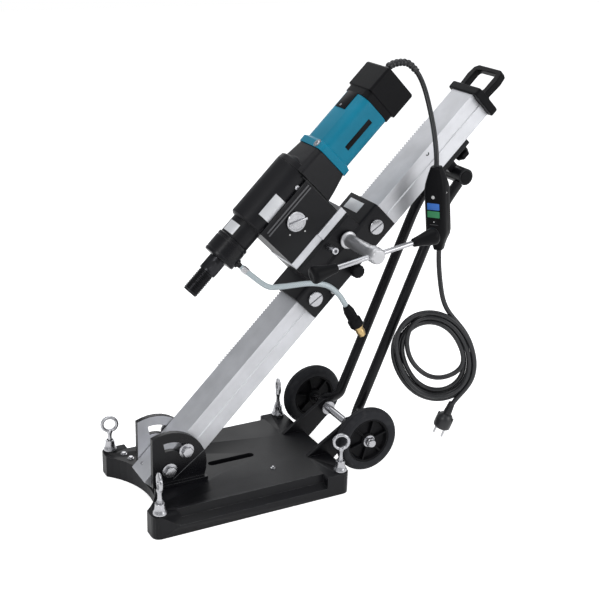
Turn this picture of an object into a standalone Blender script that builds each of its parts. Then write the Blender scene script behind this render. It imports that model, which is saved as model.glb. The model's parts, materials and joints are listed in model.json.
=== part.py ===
"""Core drill rig: base plate with cheeks, wheels and levelling screws, a tilting column held by two back
stays, a rack-fed carriage, and a water-fed drill motor with its three-part cord.

World axes: X runs from the notched front to the wheels, Y across, Z up. The origin is on the base's
underside, on the web behind the column foot. Pieces on the column are drawn in column axes: z along the
column from its lower end, y across, x towards the back of the column, all from the column's centre line.
"""
import math

import bmesh
import bpy
from mathutils import Matrix, Vector

MM = 0.001

# ---- sizes that are set by themselves --------------------------------------------------------------
GAP = 0.3 * MM                      # between pieces that touch
RUNNING_FIT = 0.1 * MM              # radial, for a shaft that turns in a bore

BASE_LENGTH = 420 * MM
BASE_WIDTH = 304 * MM
BASE_FRONT_X = -157 * MM            # front edge, from the origin
PLATEAU_HEIGHT = 45 * MM
PLATEAU_HALF_WIDTH = 132 * MM
LEDGE_HEIGHT = 22 * MM
BOSS_HEIGHT = 49 * MM
BOSS_RADIUS = 15 * MM
NOTCH_DEPTH = 50 * MM
NOTCH_RADIUS = 157 * MM
NOTCH_WEB = 8 * MM
NOTCH_WEB_HEIGHT = 20 * MM
FOOT_WINDOW_BACK_X = -22 * MM
ANCHOR_SLOT_LENGTH = 102 * MM
ANCHOR_SLOT_WIDTH = 17 * MM
ANCHOR_SLOT_X = 69 * MM             # middle of the slot
AXLE_LUG_Y = 54 * MM                # middle of each rear lug
AXLE_LUG_THICKNESS = 9 * MM
AXLE_LUG_LENGTH = 48 * MM            # over the base's top, from its back edge

SCREW_INSET_X = 17 * MM             # levelling screws, from the ends and sides of the base
SCREW_INSET_Y = 14 * MM
SCREW_RADIUS = 6 * MM
EYE_OUTER_RADIUS = 18.5 * MM
EYE_WIRE_RADIUS = 3.6 * MM
SCREW_TIP_Z = 3 * MM
SLEEVE_HEIGHT = 20 * MM
EYE_HEIGHTS = {                      # middle of each eye, as the screws are set
    "near_front": 113 * MM, "far_front": 105 * MM, "near_back": 111 * MM, "far_back": 114.5 * MM}

AXLE_BEHIND_BASE = 55 * MM
AXLE_Z = 92 * MM
AXLE_RADIUS = 8 * MM
WHEEL_RADIUS = 68 * MM
WHEEL_WIDTH = 28 * MM
WHEEL_INNER_Y = 101 * MM
RIM_RADIUS = 47 * MM

PIVOT_X = -84 * MM
PIVOT_Z = 79 * MM
TILT = math.radians(45)             # column's rest angle above the floor
CHEEK_CLEARANCE = 1.5 * MM          # each side of the column
CHEEK_THICKNESS = 11 * MM
CHEEK_RADIUS = 79 * MM
CHEEK_FRONT_X = -118 * MM
CLAMP_BOLT_DISTANCE = 50 * MM
FOOT_BOLT_RADIUS = 8 * MM

COLUMN_LENGTH = 1000 * MM
COLUMN_HALF_WIDTH = 34 * MM
COLUMN_HALF_DEPTH = 30 * MM
COLUMN_WALL = 6 * MM
SIDE_GROOVE_DEPTH = 2.5 * MM
SIDE_GROOVE_WIDTH = 22 * MM
FRONT_RAIL_WIDTH = 9 * MM
PIVOT_FROM_END = 49 * MM
PIVOT_FORWARD = 12 * MM             # pivot lies this far in front of the column's centre line

RACK_MODULE = 2 * MM
RACK_WIDTH = 10 * MM
RACK_DEPTH = 18 * MM
RACK_TIP_BACK = 4 * MM              # tooth tips behind the column's front face
RACK_START = 262 * MM
RACK_TO_TOP = 79 * MM               # plain length left above the last tooth

CARRIAGE_START = 458 * MM
CARRIAGE_LENGTH = 246 * MM
CARRIAGE_NEAR_WALL = 16 * MM        # from the column's side to the carriage's
CARRIAGE_FAR_WALL = 22 * MM
CARRIAGE_FRONT_X = -45 * MM
CARRIAGE_BACK_X = 17.5 * MM
PAD_THICKNESS = 3 * MM
PAD_LENGTH = 60 * MM
RISER_START = 503 * MM
RISER_LENGTH = 147 * MM
RISER_HALF_WIDTH = 45 * MM
PLATE_HALF_WIDTH = 47 * MM
PLATE_BACK_X = -86 * MM
PLATE_THICKNESS = 17 * MM
PLATE_STEP = 3 * MM
GUIDE_PIN_X = -13 * MM
GUIDE_PIN_Z = (485.5 * MM, 672 * MM)
GUIDE_HEAD_RADIUS = 15.5 * MM
GUIDE_SHANK_RADIUS = 7 * MM

CRANK_Z = 614 * MM
PINION_TEETH = 19
CRANK_SHAFT_RADIUS = 8 * MM
CRANK_HUB_RADIUS = 12 * MM
CRANK_HUB_LENGTH = 103 * MM         # in front of its boss on the carriage
CRANK_ROD_FROM_END = 13 * MM
CRANK_ROD_RADIUS = 5 * MM
CRANK_ROD_HALF_LENGTH = 112 * MM
CRANK_ROD_ANGLE = math.radians(-35.6)  # from the column's direction towards its back
CRANK_GRIP_LENGTH = 52 * MM
CRANK_GRIP_RADII = (8.5 * MM, 17 * MM)

LOCK_KNOB_X = 10.5 * MM
LOCK_KNOB_Z = 581 * MM
LOCK_KNOB_RADIUS = 14 * MM
MOUNT_PIN_X = -66 * MM
MOUNT_PIN_Z = 577 * MM
MOUNT_PIN_RADIUS = 7 * MM

SPINDLE_X = -209 * MM
GEAR_MODULE = 2 * MM
GEARBOX_START = 504 * MM
GEARBOX_END = 640 * MM
GEARBOX_HALF_WIDTH = 45 * MM
GEARBOX_BARREL_RADIUS = 40 * MM
GEARBOX_WALL = 6 * MM
NECK_RADIUS = 31 * MM
NECK_START = 465 * MM
SWIVEL_RADIUS = 33.5 * MM
SWIVEL_START = 419 * MM
SPINDLE_TIP = 335.5 * MM
SPINDLE_THREAD_RADIUS = 15.875 * MM  # 1 1/4 inch
SPINDLE_SHAFT_RADIUS = 14 * MM
SPINDLE_HEX_RADIUS = 20 * MM
DIAL_X = -160 * MM
DIAL_Z = 568 * MM
DIAL_RADIUS = 20 * MM

ADAPTER_END = 697 * MM
MOTOR_HALF_WIDTH = 40 * MM
MOTOR_CORNER = 20 * MM
MOTOR_END = 830 * MM
CAP_STEP = 1.5 * MM                 # how far the rear cap stands out from the shell
FLANGE_STEP = 3.5 * MM
CAP_SHOULDER = 846 * MM
CAP_END = 903 * MM
MOTOR_WALL = 3.5 * MM
SHAFT_RADIUS = 6 * MM
ARMATURE_RADIUS = 23 * MM
AIR_GAP = 0.8 * MM
COMMUTATOR_RADIUS = 13 * MM
BEARING_RADIUS = 13 * MM
FAN_RADIUS = 30 * MM
FAN_START = 690 * MM
MOTOR_PINION_TEETH = 8
LAYSHAFT_WHEEL_TEETH = 20
LAYSHAFT_PINION_TEETH = 24
SPINDLE_WHEEL_TEETH = 34
GEAR_WIDTH = 14 * MM
SPINDLE_WHEEL_START = 556 * MM
LAYSHAFT_WHEEL_START = 594 * MM

STAY_Y = 40 * MM
STAY_RADIUS = 10.6 * MM
STAY_FOOT = (26 * MM, 32 * MM)       # from the axle to where each stay straightens, in X and Z
STAY_BEND = (-50.4 * MM, -65.1 * MM)  # from the cross tube's middle to the bend
CROSS_TUBE_RADIUS = 17 * MM
CROSS_TUBE_HALF = 51 * MM
CROSS_TUBE_BACK = 78 * MM            # behind the column's centre line, at rest
CLAMP_BLOCK_TO_TOP = 145 * MM        # from the clamp block's lower end to the column's top
SADDLE_FROM_START = 21 * MM          # where the cross tube rests on the clamp block
CLAMP_BLOCK_LENGTH = 80 * MM
CLAMP_BLOCK_THICKNESS = 14 * MM
CLAMP_BLOCK_HALF_WIDTH = 30 * MM

CORD_RADIUS = 5 * MM
HOSE_RADIUS = 5.5 * MM
BOX_HEIGHT = 172 * MM
BOX_WIDTH = 44 * MM
BOX_DEPTH = 40 * MM
BOX_TURN = math.radians(-58)         # which way the cord box faces
BOX_LEAN = math.radians(-7)
COIL_RADIUS = 96 * MM
COIL_INNER_RADIUS = 66 * MM
COIL_THICKNESS = 26 * MM
COIL_SAG = (0.078, 0.088)            # how far the hanging coil is out of round, level and slanting
COIL_TURN = math.radians(-30)        # which way its plane faces

# ---- sizes that follow -----------------------------------------------------------------------------
BASE_BACK_X = BASE_FRONT_X + BASE_LENGTH
BASE_HALF_WIDTH = BASE_WIDTH / 2
SCREW_X = (BASE_FRONT_X + SCREW_INSET_X, BASE_BACK_X - SCREW_INSET_X)
SCREW_Y = BASE_HALF_WIDTH - SCREW_INSET_Y
CHEEK_INNER_Y = COLUMN_HALF_WIDTH + CHEEK_CLEARANCE
CHEEK_OUTER_Y = CHEEK_INNER_Y + CHEEK_THICKNESS
AXLE_X = BASE_BACK_X + AXLE_BEHIND_BASE
AXLE_LUG_ROOT_X = BASE_BACK_X - AXLE_LUG_LENGTH
CARRIAGE_NEAR_Y = -COLUMN_HALF_WIDTH - CARRIAGE_NEAR_WALL
CARRIAGE_FAR_Y = COLUMN_HALF_WIDTH + CARRIAGE_FAR_WALL
CARRIAGE_END = CARRIAGE_START + CARRIAGE_LENGTH
RISER_END = RISER_START + RISER_LENGTH
PLATE_FRONT_X = PLATE_BACK_X - PLATE_THICKNESS
CAVITY_HALF_WIDTH = COLUMN_HALF_WIDTH + PAD_THICKNESS
RACK_BACK_Y = COLUMN_HALF_WIDTH + GAP
RACK_FAR_Y = RACK_BACK_Y + RACK_WIDTH
RACK_TIP_X = -COLUMN_HALF_DEPTH + RACK_TIP_BACK
RACK_TEETH = int((COLUMN_LENGTH - RACK_TO_TOP - RACK_START) / (math.pi * RACK_MODULE))
PINION_PITCH_RADIUS = PINION_TEETH * RACK_MODULE / 2
CRANK_X = RACK_TIP_X + 0.75 * RACK_MODULE - PINION_PITCH_RADIUS
CRANK_HUB_START_Y = CARRIAGE_NEAR_Y - 12 * MM
CRANK_HUB_END_Y = CRANK_HUB_START_Y - CRANK_HUB_LENGTH
CRANK_ROD_Y = CRANK_HUB_END_Y + CRANK_ROD_FROM_END
LAYSHAFT_X = SPINDLE_X + GEAR_MODULE * (SPINDLE_WHEEL_TEETH + LAYSHAFT_PINION_TEETH) / 2
MOTOR_X = LAYSHAFT_X - GEAR_MODULE * (MOTOR_PINION_TEETH + LAYSHAFT_WHEEL_TEETH) / 2
CAP_HALF_WIDTH = MOTOR_HALF_WIDTH + CAP_STEP
FLANGE_HALF_WIDTH = MOTOR_HALF_WIDTH + FLANGE_STEP
CLAMP_BLOCK_START = COLUMN_LENGTH - CLAMP_BLOCK_TO_TOP
COLUMN_FOOT = Vector((PIVOT_FORWARD, 0, -PIVOT_FROM_END))  # column's lower end in the tilt axis's frame

BLACK = ("black_paint", (0.016, 0.016, 0.018), 0.38, 0.0)
CAST = ("black_casting", (0.014, 0.014, 0.015), 0.45, 0.0)
SATIN_ALUMINIUM = ("satin_aluminium", (0.62, 0.63, 0.66), 0.36, 0.9)
ZINC = ("zinc_plate", (0.66, 0.67, 0.68), 0.27, 1.0)
STEEL = ("bright_steel", (0.56, 0.56, 0.57), 0.25, 1.0)
TEAL = ("teal_shell", (0.015, 0.29, 0.38), 0.32, 0.0)
RUBBER = ("rubber", (0.022, 0.022, 0.024), 0.75, 0.0)
PLASTIC = ("black_plastic", (0.02, 0.02, 0.021), 0.5, 0.0)
NYLON = ("nylon", (0.72, 0.70, 0.64), 0.5, 0.0)
COPPER = ("copper_winding", (0.55, 0.24, 0.11), 0.35, 1.0)
HOSE_PLASTIC = ("hose_plastic", (0.42, 0.47, 0.49), 0.35, 0.0)
BLUE = ("blue_button", (0.05, 0.18, 0.62), 0.4, 0.0)
GREEN = ("green_button", (0.07, 0.42, 0.16), 0.4, 0.0)


# ---- workshop --------------------------------------------------------------------------------------
def clear_scene():
    for thing in list(bpy.data.objects):
        bpy.data.objects.remove(thing, do_unlink=True)


def material(recipe):
    name, colour, roughness, metallic = recipe
    found = bpy.data.materials.get(name)
    if found:
        return found
    made = bpy.data.materials.new(name)
    made.use_nodes = True
    surface = made.node_tree.nodes["Principled BSDF"]
    surface.inputs["Base Color"].default_value = (*colour, 1)
    surface.inputs["Roughness"].default_value = roughness
    surface.inputs["Metallic"].default_value = metallic
    return made


def axis_empty(name, parent=None, at=(0, 0, 0), turn=(0, 0, 0)):
    empty = bpy.data.objects.new(name, None)
    bpy.context.scene.collection.objects.link(empty)
    empty.parent = parent
    empty.location = at
    empty.rotation_euler = turn
    return empty


def solid(name, shape, recipe, parent=None, at=(0, 0, 0), turn=(0, 0, 0)):
    """Turns a bmesh into a named object. Faces are made to point outwards and round faces are smoothed."""
    bmesh.ops.recalc_face_normals(shape, faces=shape.faces)
    mesh = bpy.data.meshes.new(name)
    shape.to_mesh(mesh)
    shape.free()
    mesh.shade_smooth()
    mesh.set_sharp_from_angle(angle=math.radians(35))
    made = bpy.data.objects.new(name, mesh)
    bpy.context.scene.collection.objects.link(made)
    made.data.materials.append(material(recipe))
    made.parent = parent
    made.location = at
    made.rotation_euler = turn
    return made


def combine(target, shape, operation):
    """Cuts a shape from an object, or joins it on, with the shape in the object's own axes."""
    helper = solid(f"{target.name}_helper", shape, BLACK, target)
    helper.hide_render = True
    helper.display_type = "WIRE"
    modifier = target.modifiers.new(operation.lower(), "BOOLEAN")
    modifier.operation = operation
    modifier.solver = "EXACT"
    modifier.object = helper


def cut(target, *shapes):
    for shape in shapes:
        combine(target, shape, "DIFFERENCE")


def join(target, *shapes):
    for shape in shapes:
        combine(target, shape, "UNION")


def box(x, y, z):
    """A block from its (low, high) along each axis."""
    shape = bmesh.new()
    bmesh.ops.create_cube(shape, size=1)
    for vertex in shape.verts:
        for axis, (low, high) in enumerate((x, y, z)):
            vertex.co[axis] = low + (vertex.co[axis] + 0.5) * (high - low)
    return shape


def extruded(outline, low, high, across="y"):
    """A prism: its outline is in the two other axes, in X, Y, Z order."""
    place = {"x": lambda a, b: (low, a, b), "y": lambda a, b: (a, low, b), "z": lambda a,
        b: (a, b, low)}[across]
    travel = {"x": (high - low, 0, 0), "y": (0, high - low, 0), "z": (0, 0, high - low)}[across]
    shape = bmesh.new()
    face = shape.faces.new([shape.verts.new(place(a, b)) for a, b in outline])
    grown = bmesh.ops.extrude_face_region(shape, geom=[face])
    moved = [item for item in grown["geom"] if isinstance(item, bmesh.types.BMVert)]
    bmesh.ops.translate(shape, verts=moved, vec=travel)
    return shape


TURN_TO = {
    "z": Matrix.Identity(4),
    "y": Matrix.Rotation(math.radians(-90), 4, "X"),
    "x": Matrix.Rotation(math.radians(90), 4, "Y"),
}


def turned(profile, axis="z", at=(0, 0, 0), steps=24):
    """A lathe shape from (radius, height) points. A profile that closes on itself makes a ring."""
    ring = profile[0] == profile[-1]
    points = profile[:-1] if ring else profile
    shape = bmesh.new()
    rows = []
    for radius, height in points:
        row = []
        for step in range(steps if radius else 0):
            angle = 2 * math.pi * step / steps
            row.append(shape.verts.new((radius * math.cos(angle), radius * math.sin(angle), height)))
        rows.append(row)
    pairs = list(zip(range(len(points)), range(1, len(points))))
    if ring:
        pairs.append((len(points) - 1, 0))
    for first, second in pairs:
        if not rows[first] and not rows[second]:
            continue
        if rows[first] and rows[second]:
            for step in range(steps):
                after = (step + 1) % steps
                shape.faces.new((rows[first][step], rows[second][step], rows[second][after],
                    rows[first][after]))
            continue
        edge = rows[first] or rows[second]
        if points[first][1] == points[second][1]:
            shape.faces.new(edge)
            continue
        tip = shape.verts.new((0, 0, points[second if rows[first] else first][1]))
        for step in range(steps):
            shape.faces.new((edge[step], edge[(step + 1) % steps], tip))
    bmesh.ops.transform(shape, matrix=Matrix.Translation(at) @ TURN_TO[axis], verts=shape.verts)
    return shape


def rod(radius, low, high, axis="z", at=(0, 0, 0), steps=24):
    return turned([(0, low), (radius, low), (radius, high), (0, high)], axis, at, steps)


def tube(radius, bore, low, high, axis="z", at=(0, 0, 0), steps=24):
    return turned([(bore, low), (radius, low), (radius, high), (bore, high), (bore, low)], axis, at, steps)


def bore(radius, steps=24):
    """Corner radius of a many-sided hole that clears a round shaft by the running fit all the way round."""
    return (radius + RUNNING_FIT) / math.cos(math.pi / steps)


def hexagon(radius, low, high, axis="z", at=(0, 0, 0)):
    return rod(radius, low, high, axis, at, steps=6)


def rounded_rectangle(half_width, half_height, corner, steps=4, middle=(0, 0)):
    points = []
    for quarter, (side, rise) in enumerate(((1, 1), (-1, 1), (-1, -1), (1, -1))):
        for step in range(steps + 1):
            angle = math.radians(90 * (quarter + step / steps))
            points.append((
                middle[0] + side * (half_width - corner) + corner * math.cos(angle),
                middle[1] + rise * (half_height - corner) + corner * math.sin(angle),
            ))
    return points


def arc(middle, radius, start, end, steps):
    """Points along an arc, angles in degrees from the first axis."""
    points = []
    for step in range(steps + 1):
        angle = math.radians(start + (end - start) * step / steps)
        points.append((middle[0] + radius * math.cos(angle), middle[1] + radius * math.sin(angle)))
    return points


def gear(teeth, module, low, high):
    """A spur gear about z, with plain flanks and enough backlash to turn freely in mesh."""
    pitch_radius = teeth * module / 2
    tip_radius = pitch_radius + 0.75 * module
    root_radius = pitch_radius - 1.1 * module
    outline = []
    for tooth in range(teeth):
        for radius, share in ((root_radius, -0.31), (tip_radius, -0.1), (tip_radius, 0.1),
            (root_radius, 0.31)):
            angle = 2 * math.pi * (tooth + share) / teeth
            outline.append((radius * math.cos(angle), radius * math.sin(angle)))
    return extruded(outline, low, high, "z")


def smooth_route(points, spacing):
    """Reads a smooth curve through the points at an even spacing, both ends included."""
    fine = []
    padded = [2 * points[0] - points[1], *points, 2 * points[-1] - points[-2]]
    for before, start, end, after in zip(padded, padded[1:], padded[2:], padded[3:]):
        for step in range(16):
            t = step / 16
            fine.append(0.5 * (
                2 * start + (end - before) * t + (2 * before - 5 * start + 4 * end - after) * t ** 2
                + (3 * start - before - 3 * end + after) * t ** 3
            ))
    fine.append(points[-1])
    lengths = [0.0]
    for first, second in zip(fine, fine[1:]):
        lengths.append(lengths[-1] + (second - first).length)
    count = max(2, round(lengths[-1] / spacing))
    even = []
    place = 0
    for number in range(count + 1):
        wanted = lengths[-1] * number / count
        while place < len(fine) - 2 and lengths[place + 1] < wanted:
            place += 1
        share = (wanted - lengths[place]) / (lengths[place + 1] - lengths[place])
        even.append(fine[place].lerp(fine[place + 1], min(1, max(0, share))))
    return even


def swept(points, radius, steps=14):
    """A round bar along a bent path, as a closed mesh."""
    shape = bmesh.new()
    rows = []
    side = Vector((0, 1, 0))
    for place, point in enumerate(points):
        before = points[max(0, place - 1)]
        after = points[min(len(points) - 1, place + 1)]
        along = (after - before).normalized()
        other = along.cross(side).normalized()
        row = []
        for step in range(steps):
            angle = 2 * math.pi * step / steps
            row.append(shape.verts.new(point + radius * (math.cos(angle) * side + math.sin(angle) * other)))
        rows.append(row)
    for first, second in zip(rows, rows[1:]):
        for step in range(steps):
            after = (step + 1) % steps
            shape.faces.new((first[step], first[after], second[after], second[step]))
    shape.faces.new(rows[0])
    shape.faces.new(rows[-1])
    return shape


def bent_tube(name, points, radius, recipe, parent=None, resolution=3):
    """A round tube along world points, as a poly curve with filled caps."""
    curve = bpy.data.curves.new(name, "CURVE")
    curve.dimensions = "3D"
    curve.bevel_depth = radius
    curve.bevel_resolution = resolution
    curve.use_fill_caps = True
    spline = curve.splines.new("POLY")
    spline.points.add(len(points) - 1)
    for target, point in zip(spline.points, points):
        target.co = (*point, 1)
    made = bpy.data.objects.new(name, curve)
    bpy.context.scene.collection.objects.link(made)
    made.data.materials.append(material(recipe))
    if parent:
        bpy.context.view_layer.update()
        made.parent = parent
        made.matrix_parent_inverse = parent.matrix_world.inverted()
    return made


# ---- base ------------------------------------------------------------------------------------------
def base_outline(half_width):
    """The base seen from above: rounded corners and the wide shallow notch in the front edge."""
    corner = BOSS_RADIUS
    notch_middle = BASE_FRONT_X + NOTCH_DEPTH - NOTCH_RADIUS
    half_angle = math.degrees(math.acos((BASE_FRONT_X - notch_middle) / NOTCH_RADIUS))
    points = arc((BASE_BACK_X - corner, -half_width + corner), corner, -90, 0, 4)
    points += arc((BASE_BACK_X - corner, half_width - corner), corner, 0, 90, 4)
    points += arc((BASE_FRONT_X + corner, half_width - corner), corner, 90, 180, 4)
    points += arc((notch_middle, 0), NOTCH_RADIUS, half_angle, -half_angle, 16)
    points += arc((BASE_FRONT_X + corner, -half_width + corner), corner, 180, 270, 4)
    return points


def base_plate():
    made = solid("base_plate", extruded(base_outline(BASE_HALF_WIDTH), 0, PLATEAU_HEIGHT, "z"), CAST)
    boss_clear = BOSS_RADIUS + 20 * MM
    ledge = (BASE_FRONT_X + SCREW_INSET_X + boss_clear, BASE_BACK_X - SCREW_INSET_X - boss_clear)
    for side in (-1, 1):
        inner = side * PLATEAU_HALF_WIDTH
        outer = side * (BASE_HALF_WIDTH + 5 * MM)
        section = [
            (inner, PLATEAU_HEIGHT + 5 * MM), (inner + side * 3 * MM, LEDGE_HEIGHT + 5 * MM),
            (outer, LEDGE_HEIGHT - 4 * MM), (outer, PLATEAU_HEIGHT + 5 * MM),
        ]
        cut(made, extruded(section, *ledge, "x"))
    for x in SCREW_X:
        for side in (-1, 1):
            where = (x, side * SCREW_Y, 0)
            join(made, turned(
                [(0, 1 * MM), (BOSS_RADIUS - 1 * MM, 1 * MM), (BOSS_RADIUS - 1 * MM, PLATEAU_HEIGHT),
                 (BOSS_RADIUS - 2 * MM, BOSS_HEIGHT), (12.5 * MM, BOSS_HEIGHT),
                 (8.6 * MM, BOSS_HEIGHT + 9 * MM),
                 (8.2 * MM, BOSS_HEIGHT + SLEEVE_HEIGHT), (0, BOSS_HEIGHT + SLEEVE_HEIGHT)], "z", where,
                 18))
    lug_outline = [
        (AXLE_LUG_ROOT_X, PLATEAU_HEIGHT - 2 * MM), (AXLE_LUG_ROOT_X, PLATEAU_HEIGHT + 1 * MM),
        *arc((AXLE_X, AXLE_Z), 18 * MM, 115, -45, 8),
        (BASE_BACK_X - 4 * MM, 12 * MM), (BASE_BACK_X - 30 * MM, 12 * MM),
    ]
    for side in (-1, 1):
        middle = side * AXLE_LUG_Y
        reach = AXLE_LUG_THICKNESS / 2
        join(made, extruded(lug_outline, middle - reach, middle + reach, "y"))
    window_front = BASE_FRONT_X + NOTCH_DEPTH + NOTCH_WEB
    window_half = CHEEK_INNER_Y
    cut(made, box((window_front, FOOT_WINDOW_BACK_X), (-window_half, window_half), (-5 * MM, 60 * MM)))
    cut(made, box((BASE_FRONT_X, window_front + 1 * MM), (-window_half, window_half),
                  (NOTCH_WEB_HEIGHT, 60 * MM)))
    slot = [(x + ANCHOR_SLOT_X, y) for x, y in rounded_rectangle(
        ANCHOR_SLOT_LENGTH / 2, ANCHOR_SLOT_WIDTH / 2, ANCHOR_SLOT_WIDTH / 2 - 0.1 * MM)]
    cut(made, extruded(slot, -5 * MM, 60 * MM, "z"))
    for x in SCREW_X:
        for side in (-1, 1):
            cut(made, rod(bore(SCREW_RADIUS, 20), -5 * MM, 100 * MM, "z", (x, side * SCREW_Y, 0), 20))
    cut(made, rod(bore(AXLE_RADIUS), -70 * MM, 70 * MM, "y", (AXLE_X, 0, AXLE_Z)))
    return made


def cheeks():
    """Two brackets that hold the column's foot, with an arc slot for the clamping bolt."""
    pivot = (PIVOT_X, PIVOT_Z)
    foot = PLATEAU_HEIGHT + GAP
    back = math.degrees(math.asin((foot + 6 * MM - PIVOT_Z) / CHEEK_RADIUS))
    top = math.degrees(math.acos((CHEEK_FRONT_X + 12 * MM - PIVOT_X) / CHEEK_RADIUS))
    outline = [
        (CHEEK_FRONT_X, foot), (PIVOT_X + CHEEK_RADIUS * math.cos(math.radians(back)), foot),
        *arc(pivot, CHEEK_RADIUS, back, top, 12),
        (CHEEK_FRONT_X, PIVOT_Z + CHEEK_RADIUS - 7 * MM),
    ]
    half_slot = FOOT_BOLT_RADIUS + 0.8 * MM
    rest = math.degrees(TILT)
    slot = arc(pivot, CLAMP_BOLT_DISTANCE + half_slot, rest - 11, 101, 8)
    slot += arc(pivot, CLAMP_BOLT_DISTANCE - half_slot, 101, rest - 11, 8)
    for name, side in (("near_cheek", -1), ("far_cheek", 1)):
        y = sorted((side * CHEEK_INNER_Y, side * CHEEK_OUTER_Y))
        made = solid(name, extruded(outline, *y, "y"), BLACK)
        pad = sorted((side * (CHEEK_OUTER_Y - 1 * MM), side * (CHEEK_OUTER_Y + 9 * MM)))
        join(made, box((CHEEK_FRONT_X + 18 * MM, PIVOT_X + 78 * MM), pad, (foot, foot + 7 * MM)))
        cut(made, extruded(slot, -70 * MM, 70 * MM, "y"))
        cut(made, rod(bore(FOOT_BOLT_RADIUS), -70 * MM, 70 * MM, "y", (PIVOT_X, 0, PIVOT_Z)))


def foot_bolt(name, parent, at):
    """A hexagon bolt through both cheeks and the column, with its washers and its nut on the far side."""
    face = CHEEK_OUTER_Y + GAP
    washer = face + 3 * MM
    shape = turned([
        (0, -washer - 9 * MM), (11.5 * MM, -washer - 9 * MM), (11.5 * MM, -washer), (15 * MM, -washer),
        (15 * MM, -face), (FOOT_BOLT_RADIUS, -face), (FOOT_BOLT_RADIUS, face), (15 * MM, face),
        (15 * MM, washer), (13 * MM, washer), (13 * MM, washer + 10 * MM),
        (FOOT_BOLT_RADIUS, washer + 10 * MM),
        (FOOT_BOLT_RADIUS, washer + 14 * MM), (0, washer + 14 * MM)], "y", steps=18)
    solid(name, shape, ZINC, parent, at)


def levelling_screws():
    names = {(0, -1): "near_front", (0, 1): "far_front", (1, -1): "near_back", (1, 1): "far_back"}
    for (end, side), corner in names.items():
        at = (SCREW_X[end], side * SCREW_Y, 0)
        ring_middle = EYE_HEIGHTS[corner]
        top = ring_middle - EYE_OUTER_RADIUS + EYE_WIRE_RADIUS / 2
        shank = turned([
            (0, SCREW_TIP_Z), (SCREW_RADIUS - 2 * MM, SCREW_TIP_Z), (SCREW_RADIUS, SCREW_TIP_Z + 3 * MM),
            (SCREW_RADIUS, top - 20 * MM), (4.2 * MM, top - 17 * MM),
            (4.2 * MM, top + 3 * MM), (0, top + 3 * MM)], "z", steps=12)
        screw = solid(f"{corner}_levelling_screw", shank, ZINC, None, at)
        turn = math.radians({(0, -1): 80, (0, 1): -12, (1, -1): -20, (1, 1): 75}[end, side])
        eye_radius = EYE_OUTER_RADIUS - EYE_WIRE_RADIUS
        profile = [(eye_radius + x, y) for x, y in arc((0, 0), EYE_WIRE_RADIUS, 0, 300, 5)]
        eye = turned([*profile, profile[0]], "y", (0, 0, 0), 16)
        bmesh.ops.rotate(eye, verts=eye.verts, matrix=Matrix.Rotation(turn, 3, "Z"))
        bmesh.ops.translate(eye, verts=eye.verts, vec=(0, 0, ring_middle))
        join(screw, eye)


def wheels():
    axle_end = WHEEL_INNER_Y + WHEEL_WIDTH + 13 * MM
    axle = solid("wheel_axle", rod(AXLE_RADIUS, -axle_end, axle_end, "y"), ZINC, None, (AXLE_X, 0, AXLE_Z))
    lug = AXLE_LUG_Y - AXLE_LUG_THICKNESS / 2 - GAP
    for side in (-1, 1):
        join(axle, hexagon(12 * MM, *sorted((side * lug, side * (lug - 9 * MM))), "y"))
    rim_bore = bore(AXLE_RADIUS, 28)
    for name, side in (("near", -1), ("far", 1)):
        axis = axis_empty(f"{name}_wheel_axis", at=(AXLE_X, 0, AXLE_Z))
        inner = side * WHEEL_INNER_Y
        outer = side * (WHEEL_INNER_Y + WHEEL_WIDTH)
        middle = (inner + outer) / 2
        rim = turned([
            (rim_bore, inner - side * 2 * MM), (17 * MM, inner - side * 2 * MM),
            (17 * MM, middle - side * 5 * MM),
            (RIM_RADIUS - 6 * MM, middle - side * 3 * MM), (RIM_RADIUS - 4 * MM, inner + side * 3 * MM),
            (RIM_RADIUS, inner + side * 3 * MM), (RIM_RADIUS, outer - side * 3 * MM),
            (RIM_RADIUS - 4 * MM, outer - side * 3 * MM), (RIM_RADIUS - 6 * MM, middle + side * 3 * MM),
            (17 * MM, middle + side * 5 * MM), (17 * MM, outer - side * 3 * MM),
            (rim_bore, outer - side * 3 * MM), (rim_bore, inner - side * 2 * MM)], "y", steps=28)
        solid(f"{name}_wheel_rim", rim, PLASTIC, axis)
        seat = RIM_RADIUS + GAP
        shoulder = WHEEL_RADIUS - 8 * MM
        tyre = turned([
            (seat, inner + side * 2 * MM), (shoulder, inner),
            (WHEEL_RADIUS - 1.5 * MM, inner + side * 7 * MM),
            (WHEEL_RADIUS, middle), (WHEEL_RADIUS - 1.5 * MM, outer - side * 7 * MM), (shoulder, outer),
            (seat, outer - side * 2 * MM), (seat, inner + side * 2 * MM)], "y", steps=32)
        solid(f"{name}_wheel_tyre", tyre, RUBBER, axis)
        face = outer - side * 3 * MM + side * GAP
        thread = bore(AXLE_RADIUS, 12)
        nut = turned([
            (thread, face), (14 * MM, face), (14 * MM, face + side * 2.5 * MM),
            (12 * MM, face + side * 2.5 * MM),
            (12 * MM, face + side * 12 * MM), (thread, face + side * 12 * MM), (thread, face)], "y",
            steps=12)
        solid(f"{name}_wheel_nut", nut, ZINC, None, (AXLE_X, 0, AXLE_Z))


# ---- back stays ------------------------------------------------------------------------------------
def column_point(z, forward, y):
    """World point at z along the column and this far in front of its centre line."""
    along = Vector((math.cos(TILT), 0, math.sin(TILT)))
    front = Vector((-math.sin(TILT), 0, math.cos(TILT)))
    pivot = Vector((PIVOT_X, 0, PIVOT_Z))
    return pivot + along * (z - PIVOT_FROM_END) + front * (forward - PIVOT_FORWARD) + Vector((0, y, 0))


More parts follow.
